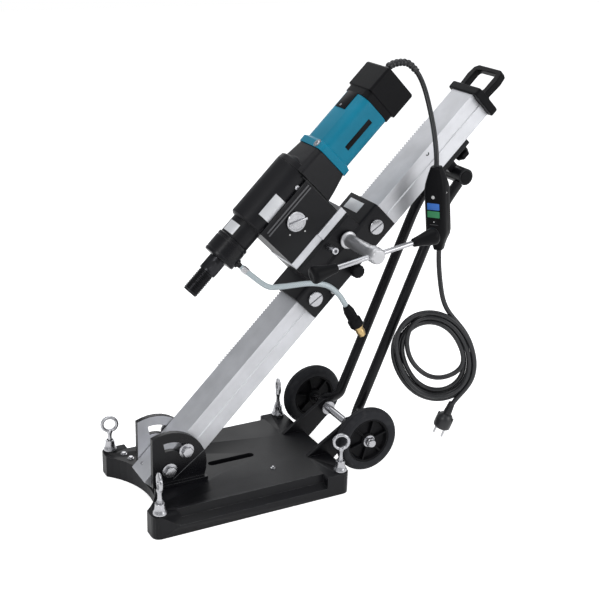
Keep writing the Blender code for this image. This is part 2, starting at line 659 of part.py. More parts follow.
def flattened_end(knee, leg, side, eye_y):
    """The blade between a stay's round tube and the eye on the axle."""
    across = Vector((leg.z, 0, -leg.x))
    tube_y = (side * STAY_Y - 7 * MM, side * STAY_Y + 7 * MM)
    shape = bmesh.new()
    corners = []
    for middle, half, span in (
        (leg * 8 * MM, 14 * MM, eye_y), (leg * 24 * MM, 14 * MM, eye_y),
        (knee + leg * 8 * MM, 7.5 * MM, tube_y),
    ):
        middle = Vector((middle.x, 0, middle.z))
        corners.append([
            shape.verts.new(middle + across * reach + Vector((0, y, 0)))
            for reach, y in ((-half, span[0]), (half, span[0]), (half, span[1]), (-half, span[1]))
        ])
    for lower, upper in zip(corners, corners[1:]):
        for place in range(4):
            after = (place + 1) % 4
            shape.faces.new((lower[place], lower[after], upper[after], upper[place]))
    shape.faces.new(corners[0])
    shape.faces.new(corners[-1])
    return shape


def back_stays():
    axis = axis_empty("stay_axis", at=(AXLE_X, 0, AXLE_Z))
    top_middle = column_point(CLAMP_BLOCK_START + SADDLE_FROM_START, -CROSS_TUBE_BACK, 0)
    towards_top = -Vector((STAY_BEND[0], 0, STAY_BEND[1])).normalized()
    stop = top_middle - towards_top * (CROSS_TUBE_RADIUS + GAP)
    for name, side in (("near", -1), ("far", 1)):
        y = side * (AXLE_LUG_Y + AXLE_LUG_THICKNESS / 2 + 6 * MM)
        eye_y = sorted((y - side * (6 * MM - GAP), y + side * 3 * MM))
        knee = Vector((AXLE_X + STAY_FOOT[0], side * STAY_Y, AXLE_Z + STAY_FOOT[1]))
        bend = top_middle + Vector((STAY_BEND[0], side * STAY_Y, STAY_BEND[1]))
        top = Vector((stop.x, side * STAY_Y, stop.z))
        leg = (bend - knee).normalized()
        out = (top - bend).normalized()
        points = [knee, knee.lerp(bend, 0.5), bend - leg * 40 * MM]
        for step in range(1, 6):
            share = step / 6
            points.append((bend - leg * 40 * MM).lerp(bend,
                share).lerp(bend.lerp(bend + out * 40 * MM, share), share))
        points += [bend + out * 40 * MM, top]
        centre = Vector((AXLE_X, 0, AXLE_Z))
        stay = solid(f"{name}_back_stay", swept([point - centre for point in points], STAY_RADIUS),
            BLACK, axis)
        join(stay, tube(17 * MM, 4 * MM, *eye_y, "y", steps=20))
        join(stay, flattened_end(knee - centre, leg, side, eye_y))
        cut(stay, rod(bore(AXLE_RADIUS), -90 * MM, 90 * MM, "y"))
    cross = tube(CROSS_TUBE_RADIUS, 9 * MM, -CROSS_TUBE_HALF, CROSS_TUBE_HALF, "y")
    solid("stay_cross_tube", cross, BLACK, axis, top_middle - Vector((AXLE_X, 0, AXLE_Z)))


# ---- column ----------------------------------------------------------------------------------------
def column(parent):
    half_width = COLUMN_HALF_WIDTH
    depth = COLUMN_HALF_DEPTH
    rail = -depth + FRONT_RAIL_WIDTH
    groove = half_width - SIDE_GROOVE_DEPTH
    side = [
        (-depth, half_width), (rail, half_width), (rail + 1.5 * MM, groove),
        (rail + SIDE_GROOVE_WIDTH - 1.5 * MM, groove), (rail + SIDE_GROOVE_WIDTH, half_width),
        (depth, half_width),
    ]
    slot = [(depth, 6 * MM), (depth - 5 * MM, 6 * MM), (depth - 5 * MM, 11 * MM),
        (depth - 13 * MM, 11 * MM)]
    upper = side + slot
    outline = upper + [(x, -y) for x, y in reversed(upper)]
    made = solid("column", extruded(outline, 0, COLUMN_LENGTH, "z"), SATIN_ALUMINIUM, parent, COLUMN_FOOT)
    inside = half_width - COLUMN_WALL - SIDE_GROOVE_DEPTH
    cut(made, box((-depth + COLUMN_WALL, depth - 13 * MM - COLUMN_WALL), (-inside, inside),
                  (-5 * MM, COLUMN_LENGTH + 5 * MM)))
    for z in (PIVOT_FROM_END, PIVOT_FROM_END + CLAMP_BOLT_DISTANCE):
        cut(made, rod(bore(FOOT_BOLT_RADIUS), -60 * MM, 60 * MM, "y", (-PIVOT_FORWARD, 0, z)))


def rack(parent):
    pitch = math.pi * RACK_MODULE
    tip = RACK_TIP_X
    root = tip + 1.9 * RACK_MODULE
    back = tip + RACK_DEPTH
    crank_to_start = CRANK_Z - RACK_START
    first = RACK_START + (crank_to_start % pitch) - pitch / 2
    outline = [(back, first), (root, first)]
    for tooth in range(RACK_TEETH):
        middle = first + (tooth + 1) * pitch
        outline += [
            (root, middle - 0.3 * pitch), (tip, middle - 0.1 * pitch),
            (tip, middle + 0.1 * pitch), (root, middle + 0.3 * pitch),
        ]
    end = first + (RACK_TEETH + 1) * pitch
    outline += [(root, end), (back, end)]
    solid("feed_rack", extruded(outline, RACK_BACK_Y, RACK_FAR_Y, "y"), STEEL, parent, COLUMN_FOOT)


def top_handle(parent):
    foot = COLUMN_LENGTH + GAP
    made = solid("top_handle", extruded(rounded_rectangle(34 * MM, 48 * MM, 6 * MM, 3), foot,
        foot + 17 * MM, "z"),
                 PLASTIC, parent, COLUMN_FOOT)
    outer = [(y, z) for y, z in (
        (-46 * MM, foot + 13 * MM), (46 * MM, foot + 13 * MM), (50 * MM, foot + 52 * MM),
        (46 * MM, foot + 70 * MM),
        (36 * MM, foot + 77 * MM), (-36 * MM, foot + 77 * MM), (-46 * MM, foot + 70 * MM),
        (-50 * MM, foot + 52 * MM))]
    join(made, extruded(outer, -17 * MM, -2 * MM, "x"))
    hole = rounded_rectangle(32 * MM, 22 * MM, 6 * MM, 3, (0, foot + 44 * MM))
    cut(made, extruded(hole, -40 * MM, 40 * MM, "x"))


def stay_clamp(parent):
    """The block that slides in the column's back slot, its saddle for the cross tube, and the star knob."""
    face = COLUMN_HALF_DEPTH + GAP
    back = face + CLAMP_BLOCK_THICKNESS
    start = CLAMP_BLOCK_START
    end = start + CLAMP_BLOCK_LENGTH
    block = box((face, back), (-CLAMP_BLOCK_HALF_WIDTH, CLAMP_BLOCK_HALF_WIDTH), (start, end))
    made = solid("stay_clamp", block, BLACK, parent, COLUMN_FOOT)
    key = box((face - 8 * MM, face + 1 * MM), (-5 * MM, 5 * MM), (start + 4 * MM, end - 4 * MM))
    join(made, key)
    join(made, rod(9 * MM, back - 1 * MM, back + 8 * MM, "x", (0, 0, end - 18 * MM), 16))
    saddle_middle = start + SADDLE_FROM_START
    saddle = CROSS_TUBE_BACK - CROSS_TUBE_RADIUS - 2 * GAP
    join(made, box((back - 1 * MM, saddle), (-24 * MM, 24 * MM),
        (saddle_middle - 11 * MM, saddle_middle + 11 * MM)))
    knob_z = end - 18 * MM
    knob_axis = axis_empty("clamp_knob_axis", parent, Vector((0, 0, knob_z)) + COLUMN_FOOT)
    knob = turned([(0, 0), (7 * MM, 0), (7 * MM, 8 * MM), (16 * MM, 10 * MM), (16 * MM, 20 * MM),
                   (12 * MM, 24 * MM), (0, 24 * MM)], "x", (back + 8 * MM + GAP, 0, 0), 16)
    solid("clamp_knob", knob, PLASTIC, knob_axis)


# ---- carriage --------------------------------------------------------------------------------------
def carriage(parent):
    ends = (CARRIAGE_START, CARRIAGE_END)
    cavity = COLUMN_HALF_DEPTH + PAD_THICKNESS
    chamfer = 8 * MM
    section = [
        (CARRIAGE_BACK_X, CARRIAGE_NEAR_Y), (CARRIAGE_FRONT_X + chamfer, CARRIAGE_NEAR_Y),
        (CARRIAGE_FRONT_X + 0.3 * chamfer, CARRIAGE_NEAR_Y + 0.3 * chamfer),
        (CARRIAGE_FRONT_X, CARRIAGE_NEAR_Y + chamfer), (CARRIAGE_FRONT_X, CARRIAGE_FAR_Y - chamfer),
        (CARRIAGE_FRONT_X + 0.3 * chamfer, CARRIAGE_FAR_Y - 0.3 * chamfer),
        (CARRIAGE_FRONT_X + chamfer, CARRIAGE_FAR_Y), (CARRIAGE_BACK_X, CARRIAGE_FAR_Y),
        (CARRIAGE_BACK_X, CAVITY_HALF_WIDTH), (-cavity, CAVITY_HALF_WIDTH), (-cavity, -CAVITY_HALF_WIDTH),
        (CARRIAGE_BACK_X, -CAVITY_HALF_WIDTH),
    ]
    made = solid("carriage_housing", extruded(section, *ends, "z"), CAST, parent, COLUMN_FOOT)
    top = PLATE_BACK_X + GAP
    riser = [
        (CARRIAGE_FRONT_X + 2 * MM, -RISER_HALF_WIDTH), (top + 10 * MM, -RISER_HALF_WIDTH),
        (top + 8 * MM, -RISER_HALF_WIDTH + 3 * MM), (top + 3 * MM, -RISER_HALF_WIDTH + 3 * MM),
        (top, -RISER_HALF_WIDTH), (top, RISER_HALF_WIDTH), (CARRIAGE_FRONT_X + 2 * MM, RISER_HALF_WIDTH),
    ]
    join(made, extruded(riser, RISER_START, RISER_END, "z"))
    rack_room = box((RACK_TIP_X - 2 * MM, RACK_TIP_X + RACK_DEPTH + 2 * MM),
                    (COLUMN_HALF_WIDTH - 2 * MM, RACK_FAR_Y + 1 * MM), (ends[0] - 5 * MM, ends[1] + 5 * MM))
    cut(made, rack_room)
    shaft_hole = bore(CRANK_SHAFT_RADIUS)
    pinion_room = PINION_PITCH_RADIUS + RACK_MODULE + 1 * MM
    room = (COLUMN_HALF_WIDTH - 1.5 * MM, RACK_FAR_Y + 1.4 * MM)
    cut(made, turned([
        (0, -70 * MM), (shaft_hole, -70 * MM), (shaft_hole, room[0]), (pinion_room, room[0]),
        (pinion_room, room[1]),
        (shaft_hole, room[1]), (shaft_hole, room[1] + 4.6 * MM), (0, room[1] + 4.6 * MM)],
        "y", (CRANK_X, 0, CRANK_Z)))
    for z in GUIDE_PIN_Z:
        cut(made, rod(bore(GUIDE_SHANK_RADIUS), -60 * MM, -CAVITY_HALF_WIDTH + 1 * MM, "y",
            (GUIDE_PIN_X, 0, z)))
    cut(made, rod(bore(4 * MM), -60 * MM, -CAVITY_HALF_WIDTH + 1 * MM, "y", (LOCK_KNOB_X, 0, LOCK_KNOB_Z)))
    cut(made, rod(bore(5 * MM), -60 * MM, -RISER_HALF_WIDTH + 20 * MM, "y", (MOUNT_PIN_X, 0, MOUNT_PIN_Z)))


def guides(parent):
    pad_face = COLUMN_HALF_WIDTH + GAP
    wall = CAVITY_HALF_WIDTH - GAP
    behind_rack = RACK_TIP_X + RACK_DEPTH + 1 * MM
    back = CARRIAGE_BACK_X - 2 * MM
    length = (CARRIAGE_START + 4 * MM, CARRIAGE_END - 4 * MM)
    solid("near_guide_pad", box((-COLUMN_HALF_DEPTH, back), (-wall, -pad_face), length), NYLON, parent,
        COLUMN_FOOT)
    solid("far_guide_pad", box((behind_rack, back), (pad_face, wall), length), NYLON, parent, COLUMN_FOOT)
    face = CARRIAGE_NEAR_Y - GAP
    for name, z in zip(("lower", "upper"), GUIDE_PIN_Z):
        pin = turned([
            (0, -CAVITY_HALF_WIDTH - GAP), (GUIDE_SHANK_RADIUS, -CAVITY_HALF_WIDTH - GAP),
            (GUIDE_SHANK_RADIUS, face),
            (GUIDE_HEAD_RADIUS, face), (GUIDE_HEAD_RADIUS, face - 4 * MM),
            (GUIDE_HEAD_RADIUS - 1 * MM, face - 5 * MM),
            (0, face - 5 * MM)], "y", steps=24)
        made = solid(f"{name}_guide_pin", pin, ZINC, parent, Vector((GUIDE_PIN_X, 0, z)) + COLUMN_FOOT)
        slot = box((-1.5 * MM, 1.5 * MM), (face - 8 * MM, face - 3 * MM), (-17 * MM, 17 * MM))
        bmesh.ops.rotate(slot, verts=slot.verts, matrix=Matrix.Rotation(math.radians(12), 3, "Y"))
        cut(made, slot)


def crank(parent):
    axis = axis_empty("crank_axis", parent, Vector((CRANK_X, 0, CRANK_Z)) + COLUMN_FOOT)
    made = solid("crank_shaft", turned([
        (0, RACK_FAR_Y + 5 * MM), (CRANK_SHAFT_RADIUS, RACK_FAR_Y + 5 * MM),
        (CRANK_SHAFT_RADIUS, CRANK_HUB_START_Y),
        (CRANK_HUB_RADIUS, CRANK_HUB_START_Y), (CRANK_HUB_RADIUS, CRANK_ROD_Y + 16 * MM),
        (CRANK_HUB_RADIUS + 3 * MM, CRANK_ROD_Y + 9 * MM),
        (CRANK_HUB_RADIUS + 3 * MM, CRANK_HUB_END_Y + 2 * MM),
        (CRANK_HUB_RADIUS, CRANK_HUB_END_Y), (0, CRANK_HUB_END_Y)], "y"), STEEL, axis)
    wheel = gear(PINION_TEETH, RACK_MODULE, 0, RACK_WIDTH)
    bmesh.ops.transform(wheel, matrix=TURN_TO["y"], verts=wheel.verts)
    bmesh.ops.translate(wheel, verts=wheel.verts, vec=(0, RACK_BACK_Y, 0))
    join(made, wheel)
    turn = (0, -CRANK_ROD_ANGLE, 0)
    hole = rod(bore(CRANK_ROD_RADIUS, 14), -40 * MM, 40 * MM, "z", (0, CRANK_ROD_Y, 0), 14)
    bmesh.ops.rotate(hole, verts=hole.verts, matrix=Matrix.Rotation(-CRANK_ROD_ANGLE, 3, "Y"))
    cut(made, hole)
    grip_start = CRANK_ROD_HALF_LENGTH - CRANK_GRIP_LENGTH / 2
    bar = rod(CRANK_ROD_RADIUS, -grip_start - 20 * MM, grip_start + 20 * MM, "z", (0, CRANK_ROD_Y, 0), 14)
    solid("crank_rod", bar, ZINC, axis, (0, 0, 0), turn)
    for name, side in (("upper", 1), ("lower", -1)):
        seat = bore(CRANK_ROD_RADIUS, 20)
        grip = turned([
            (seat, 0), (CRANK_GRIP_RADII[0], 0), (CRANK_GRIP_RADII[1], CRANK_GRIP_LENGTH * 0.8),
            (CRANK_GRIP_RADII[1] - 2 * MM, CRANK_GRIP_LENGTH * 0.95),
            (CRANK_GRIP_RADII[1] - 6 * MM, CRANK_GRIP_LENGTH),
            (0, CRANK_GRIP_LENGTH), (0, 20 * MM + GAP), (seat, 20 * MM + GAP), (seat, 0)], "z", steps=20)
        if side < 0:
            bmesh.ops.rotate(grip, verts=grip.verts, matrix=Matrix.Rotation(math.pi, 3, "X"))
        bmesh.ops.translate(grip, verts=grip.verts, vec=(0, CRANK_ROD_Y, side * grip_start))
        solid(f"{name}_crank_grip", grip, PLASTIC, axis, (0, 0, 0), turn)


def carriage_controls(parent):
    knob_axis = axis_empty("lock_knob_axis", parent, Vector((LOCK_KNOB_X, 0, LOCK_KNOB_Z)) + COLUMN_FOOT)
    face = CARRIAGE_NEAR_Y - GAP
    knob = turned([
        (0, -CAVITY_HALF_WIDTH - GAP), (4 * MM, -CAVITY_HALF_WIDTH - GAP), (4 * MM, face), (6 * MM, face),
        (6 * MM, face - 7 * MM), (LOCK_KNOB_RADIUS, face - 9 * MM), (LOCK_KNOB_RADIUS, face - 21 * MM),
        (LOCK_KNOB_RADIUS - 3 * MM, face - 24 * MM), (0, face - 24 * MM)], "y", steps=20)
    solid("lock_knob", knob, PLASTIC, knob_axis)
    pin_axis = axis_empty("mount_pin_axis", parent, Vector((MOUNT_PIN_X, 0, MOUNT_PIN_Z)) + COLUMN_FOOT)
    riser_face = -RISER_HALF_WIDTH - GAP
    pin = turned([
        (0, riser_face + 18 * MM), (5 * MM, riser_face + 18 * MM), (5 * MM, riser_face),
        (MOUNT_PIN_RADIUS, riser_face),
        (MOUNT_PIN_RADIUS, riser_face - 30 * MM), (MOUNT_PIN_RADIUS - 1 * MM, riser_face - 31 * MM),
        (0, riser_face - 31 * MM)], "y", steps=18)
    made = solid("mount_pin", pin, ZINC, pin_axis)
    cut(made, hexagon(4 * MM, riser_face - 36 * MM, riser_face - 26 * MM, "y"))


# ---- drill motor -----------------------------------------------------------------------------------
def mount_plate(parent):
    middle = RISER_START + RISER_LENGTH / 2 + 3 * MM
    made = solid("mount_plate", box((PLATE_FRONT_X, PLATE_BACK_X),
        (-PLATE_HALF_WIDTH + PLATE_STEP, PLATE_HALF_WIDTH),
                                    (RISER_START, RISER_END)), SATIN_ALUMINIUM, parent, COLUMN_FOOT)
    join(made, box((PLATE_FRONT_X, PLATE_BACK_X),
        (-PLATE_HALF_WIDTH, -PLATE_HALF_WIDTH + PLATE_STEP + 1 * MM),
                   (middle, RISER_END)))


def gearbox(parent):
    back = PLATE_FRONT_X - GAP
    front = SPINDLE_X + 9 * MM
    body = box((front, back), (-GEARBOX_HALF_WIDTH, GEARBOX_HALF_WIDTH), (GEARBOX_START, GEARBOX_END))
    made = solid("gearbox_housing", body, CAST, parent, COLUMN_FOOT)
    barrel = turned([
        (0, GEARBOX_START), (GEARBOX_BARREL_RADIUS - 4 * MM, GEARBOX_START),
        (GEARBOX_BARREL_RADIUS, GEARBOX_START + 4 * MM), (GEARBOX_BARREL_RADIUS, GEARBOX_END),
        (0, GEARBOX_END)],
        "z", (SPINDLE_X, 0, 0), 32)
    join(made, barrel)
    join(made, rod(NECK_RADIUS, NECK_START, GEARBOX_START + 2 * MM, "z", (SPINDLE_X, 0, 0), 28))
    wall = GEARBOX_WALL
    inside = (GEARBOX_START + 2 * wall, GEARBOX_END + 5 * MM)
    cut(made, rod(GEARBOX_BARREL_RADIUS - wall / 2, *inside, "z", (SPINDLE_X, 0, 0), 28))
    cut(made, box((front, back - wall), (-GEARBOX_HALF_WIDTH + wall, GEARBOX_HALF_WIDTH - wall), inside))
    cut(made, rod(24 * MM, NECK_START + 4 * MM, inside[0] + 1 * MM, "z", (SPINDLE_X, 0, 0), 24))
    cut(made, rod(bore(SPINDLE_SHAFT_RADIUS), NECK_START - 5 * MM, NECK_START + 5 * MM, "z",
        (SPINDLE_X, 0, 0)))
    cut(made, rod(bore(5 * MM), -GEARBOX_HALF_WIDTH - 5 * MM, -GEARBOX_HALF_WIDTH + wall + 1 * MM, "y",
                  (DIAL_X, 0, DIAL_Z)))


def spindle(parent):
    axis = axis_empty("spindle_axis", parent, Vector((SPINDLE_X, 0, 0)) + COLUMN_FOOT)
    swivel_bore = bore(SPINDLE_SHAFT_RADIUS, 28)
    ring = turned([
        (swivel_bore, SWIVEL_START), (SWIVEL_RADIUS - 2 * MM, SWIVEL_START),
        (SWIVEL_RADIUS, SWIVEL_START + 2 * MM),
        (SWIVEL_RADIUS, NECK_START - GAP), (swivel_bore, NECK_START - GAP),
        (swivel_bore, SWIVEL_START)], "z", steps=28)
    swivel = solid("water_swivel", ring, BLACK, axis)
    join(swivel, swivel_barb())
    shaft = turned([
        (0, SPINDLE_TIP), (SPINDLE_THREAD_RADIUS - 2 * MM, SPINDLE_TIP),
        (SPINDLE_THREAD_RADIUS, SPINDLE_TIP + 2 * MM),
        (SPINDLE_THREAD_RADIUS, 386 * MM), (17.5 * MM, 386 * MM), (17.5 * MM, SWIVEL_START - 1 * MM),
        (SPINDLE_SHAFT_RADIUS, SWIVEL_START - 1 * MM), (SPINDLE_SHAFT_RADIUS, GEARBOX_END - 22 * MM),
        (0, GEARBOX_END - 22 * MM)], "z", steps=24)
    made = solid("spindle", shaft, STEEL, axis)
    join(made, hexagon(SPINDLE_HEX_RADIUS, 391 * MM, 410 * MM))
    cut(made, rod(7 * MM, SPINDLE_TIP - 5 * MM, SPINDLE_TIP + 30 * MM, steps=16))
    bearing = tube(23.6 * MM, bore(SPINDLE_SHAFT_RADIUS), NECK_START + 6 * MM, NECK_START + 21 * MM)
    solid("spindle_bearing", bearing, STEEL, axis)
    wheel = solid("spindle_gear", gear(SPINDLE_WHEEL_TEETH, GEAR_MODULE, SPINDLE_WHEEL_START,
        SPINDLE_WHEEL_START + GEAR_WIDTH),
                  STEEL, axis)
    cut(wheel, rod(bore(SPINDLE_SHAFT_RADIUS), SPINDLE_WHEEL_START - 5 * MM, SPINDLE_WHEEL_START + 20 * MM))
    return axis


def swivel_barb():
    """The hose nipple on the swivel, pointing down and to the near side."""
    barb = turned([
        (0, SWIVEL_RADIUS - 6 * MM), (8 * MM, SWIVEL_RADIUS - 6 * MM), (8 * MM, SWIVEL_RADIUS + 3 * MM),
        (HOSE_RADIUS, SWIVEL_RADIUS + 3 * MM), (HOSE_RADIUS, SWIVEL_RADIUS + 9 * MM),
        (0, SWIVEL_RADIUS + 9 * MM)],
        "x", steps=14)
    bmesh.ops.rotate(barb, verts=barb.verts, matrix=Matrix.Rotation(math.radians(-32), 3, "Z"))
    bmesh.ops.translate(barb, verts=barb.verts, vec=(0, 0, 436 * MM))
    return barb


def gear_train(parent):
    """The layshaft between the armature's pinion and the spindle's gear."""
    axis = axis_empty("layshaft_axis", parent, Vector((LAYSHAFT_X, 0, 0)) + COLUMN_FOOT)
    shaft = rod(6 * MM, GEARBOX_START + 2 * GEARBOX_WALL + GAP, GEARBOX_END - 8 * MM, steps=16)
    made = solid("layshaft", shaft, STEEL, axis)
    pinion = gear(LAYSHAFT_PINION_TEETH, GEAR_MODULE, SPINDLE_WHEEL_START, SPINDLE_WHEEL_START + GEAR_WIDTH)
    bmesh.ops.rotate(pinion, verts=pinion.verts,
        matrix=Matrix.Rotation(math.pi / LAYSHAFT_PINION_TEETH, 3, "Z"))
    join(made, pinion)
    wheel = gear(LAYSHAFT_WHEEL_TEETH, GEAR_MODULE, LAYSHAFT_WHEEL_START, LAYSHAFT_WHEEL_START + GEAR_WIDTH)
    join(made, wheel)


def gear_dial(parent):
    axis = axis_empty("dial_axis", parent, Vector((DIAL_X, 0, DIAL_Z)) + COLUMN_FOOT)
    face = -GEARBOX_HALF_WIDTH - GAP
    dial = turned([
        (0, face + GEARBOX_WALL), (5 * MM, face + GEARBOX_WALL), (5 * MM, face), (DIAL_RADIUS, face),
        (DIAL_RADIUS, face - 5 * MM), (DIAL_RADIUS - 1 * MM, face - 6 * MM), (0, face - 6 * MM)], "y",
        steps=28)
    made = solid("gear_dial", dial, ZINC, axis)
    ridge = box((-3 * MM, 3 * MM), (face - 10 * MM, face - 5 * MM),
        (-DIAL_RADIUS + 1 * MM, DIAL_RADIUS + 5 * MM))
    bmesh.ops.rotate(ridge, verts=ridge.verts, matrix=Matrix.Rotation(math.radians(29), 3, "Y"))
    join(made, ridge)


def lofted(sections):
    """A closed shape through outlines of equal point count, each at its own height."""
    shape = bmesh.new()
    rows = [[shape.verts.new((x, y, height)) for x, y in outline] for height, outline in sections]
    count = len(rows[0])
    for lower, upper in zip(rows, rows[1:]):
        for place in range(count):
            after = (place + 1) % count
            shape.faces.new((lower[place], lower[after], upper[after], upper[place]))
    shape.faces.new(rows[0])
    shape.faces.new(rows[-1])
    return shape


def motor(parent):
    middle = (MOTOR_X, 0)
    start = GEARBOX_END + GAP
    adapter_sections = [
        (start, rounded_rectangle(MOTOR_HALF_WIDTH + 9 * MM, MOTOR_HALF_WIDTH + 7 * MM, 14 * MM, 3,
            (MOTOR_X + 3 * MM, 0))),
        (start + 22 * MM, rounded_rectangle(MOTOR_HALF_WIDTH + 7 * MM, MOTOR_HALF_WIDTH + 5 * MM,
            14 * MM, 3, (MOTOR_X + 2 * MM, 0))),
        (ADAPTER_END, rounded_rectangle(MOTOR_HALF_WIDTH + 2 * MM, MOTOR_HALF_WIDTH + 2 * MM, 14 * MM,
            3, middle)),
    ]
    adapter = solid("motor_adapter", lofted(adapter_sections), CAST, parent, COLUMN_FOOT)
    join(adapter, turned([
        (0, start), (GEARBOX_BARREL_RADIUS, start), (GEARBOX_BARREL_RADIUS - 2 * MM, start + 12 * MM),
        (0, start + 30 * MM)], "z", (SPINDLE_X, 0, 0), 28))
    cut(adapter, extruded(rounded_rectangle(MOTOR_HALF_WIDTH - 4 * MM, MOTOR_HALF_WIDTH - 4 * MM,
        10 * MM, 3, middle), start + 14 * MM,
                          ADAPTER_END + 5 * MM, "z"))
    cut(adapter, rod(bore(BEARING_RADIUS), start - 5 * MM, start + 16 * MM, "z", (*middle, 0)))
    shell_start = ADAPTER_END + GAP
    flange = rounded_rectangle(FLANGE_HALF_WIDTH, FLANGE_HALF_WIDTH, 12 * MM, 4, middle)
    plain = rounded_rectangle(MOTOR_HALF_WIDTH, MOTOR_HALF_WIDTH, MOTOR_CORNER, 4, middle)
    shell = solid("motor_shell", lofted([(shell_start, flange), (shell_start + 14 * MM, flange),
                                         (shell_start + 18 * MM, plain), (MOTOR_END, plain)]), TEAL,
                                         parent, COLUMN_FOOT)
    inside = MOTOR_HALF_WIDTH - MOTOR_WALL
    cut(shell, extruded(rounded_rectangle(inside, inside, MOTOR_CORNER - MOTOR_WALL, 4, middle),
                        shell_start - 5 * MM, MOTOR_END + 5 * MM, "z"))
    collar = rounded_rectangle(MOTOR_HALF_WIDTH, MOTOR_HALF_WIDTH, 14 * MM, 3, middle)
    square = rounded_rectangle(CAP_HALF_WIDTH, CAP_HALF_WIDTH, 5 * MM, 3, middle)
    top = rounded_rectangle(CAP_HALF_WIDTH - 2 * MM, CAP_HALF_WIDTH - 2 * MM, 4 * MM, 3, middle)
    cap_start = MOTOR_END + GAP
    cap = solid("motor_rear_cap", lofted([(cap_start, collar), (CAP_SHOULDER - 1 * MM, collar),
        (CAP_SHOULDER, square),
                                          (CAP_END - 3 * MM, square), (CAP_END, top)]), PLASTIC, parent,
                                          COLUMN_FOOT)
    cut(cap, extruded(rounded_rectangle(inside, inside, 10 * MM, 3, middle), cap_start - 5 * MM,
        CAP_END - 14 * MM, "z"))
    axis = axis_empty("armature_axis", parent, Vector((MOTOR_X, 0, 0)) + COLUMN_FOOT)
    pinion_end = LAYSHAFT_WHEEL_START + GEAR_WIDTH
    armature = turned([
        (0, LAYSHAFT_WHEEL_START), (5 * MM, LAYSHAFT_WHEEL_START), (5 * MM, pinion_end + 4 * MM),
        (SHAFT_RADIUS, pinion_end + 4 * MM), (SHAFT_RADIUS, start + 2 * MM),
        (BEARING_RADIUS, start + 2 * MM),
        (BEARING_RADIUS, start + 12 * MM), (SHAFT_RADIUS, start + 12 * MM), (SHAFT_RADIUS, FAN_START),
        (FAN_RADIUS, FAN_START), (FAN_RADIUS, FAN_START + 3 * MM), (12 * MM, FAN_START + 5 * MM),
        (12 * MM, 704 * MM), (SHAFT_RADIUS, 704 * MM), (SHAFT_RADIUS, 712 * MM),
        (ARMATURE_RADIUS, 712 * MM),
        (ARMATURE_RADIUS, 800 * MM), (COMMUTATOR_RADIUS, 806 * MM), (COMMUTATOR_RADIUS, 828 * MM),
        (SHAFT_RADIUS, 828 * MM), (SHAFT_RADIUS, 852 * MM), (BEARING_RADIUS, 852 * MM),
        (BEARING_RADIUS, 862 * MM), (SHAFT_RADIUS, 862 * MM), (SHAFT_RADIUS, 866 * MM), (0, 866 * MM)],
        "z", steps=20)
    made = solid("armature", armature, STEEL, axis)
    wheel = gear(MOTOR_PINION_TEETH, GEAR_MODULE, LAYSHAFT_WHEEL_START, pinion_end)
    turn = math.pi + math.pi / MOTOR_PINION_TEETH
    bmesh.ops.rotate(wheel, verts=wheel.verts, matrix=Matrix.Rotation(turn, 3, "Z"))
    join(made, wheel)
    field = rounded_rectangle(inside - GAP, inside - GAP, MOTOR_CORNER - MOTOR_WALL, 4)
    stator = solid("field_stator", extruded(field, 716 * MM, 796 * MM, "z"), COPPER, axis)
    cut(stator, rod(ARMATURE_RADIUS + AIR_GAP, 700 * MM, 810 * MM))
    for name, side in (("near", -1), ("far", 1)):
        low, high = sorted((side * (COMMUTATOR_RADIUS + GAP), side * (inside - GAP)))
        solid(f"{name}_brush_holder", box((-6 * MM, 6 * MM), (low, high), (810 * MM, 824 * MM)), COPPER,
            axis)


# ---- cord, cord box and hose -----------------------------------------------------------------------
def trimmed(points, length_off_start, length_off_end):
    """The same route with a little taken off each end, so that it meets its neighbours with a gap."""
    first = points[0] + (points[1] - points[0]).normalized() * length_off_start
    last = points[-1] + (points[-2] - points[-1]).normalized() * length_off_end
    return [first, *points[1:-1], last]


def v(x, y, z):
    return Vector((x * MM, y * MM, z * MM))


def power_cord(parent):
    root = column_point(CAP_END + 1 * MM, 206 * MM, -15 * MM)
    guard_route = [root, root + v(8, 0, 8), v(411, -15, 833), v(431, -17, 830), v(448, -22, 815)]
    guard = smooth_route(guard_route, 9 * MM)
    bent_tube("cord_guard", guard, 8 * MM, RUBBER, parent, 3)
    box_top = v(458, -95, 643)
    lead = [guard[-1], v(455, -28, 800), v(459, -38, 781), v(461, -52, 753), v(462, -70, 715),
        v(460, -85, 682),
            v(458.5, -94, 655), box_top]
    route = trimmed(smooth_route(lead, 20 * MM), 3 * MM, 1.2 * MM)
    bent_tube("upper_cord", route, CORD_RADIUS, RUBBER, parent, 3)
    return box_top


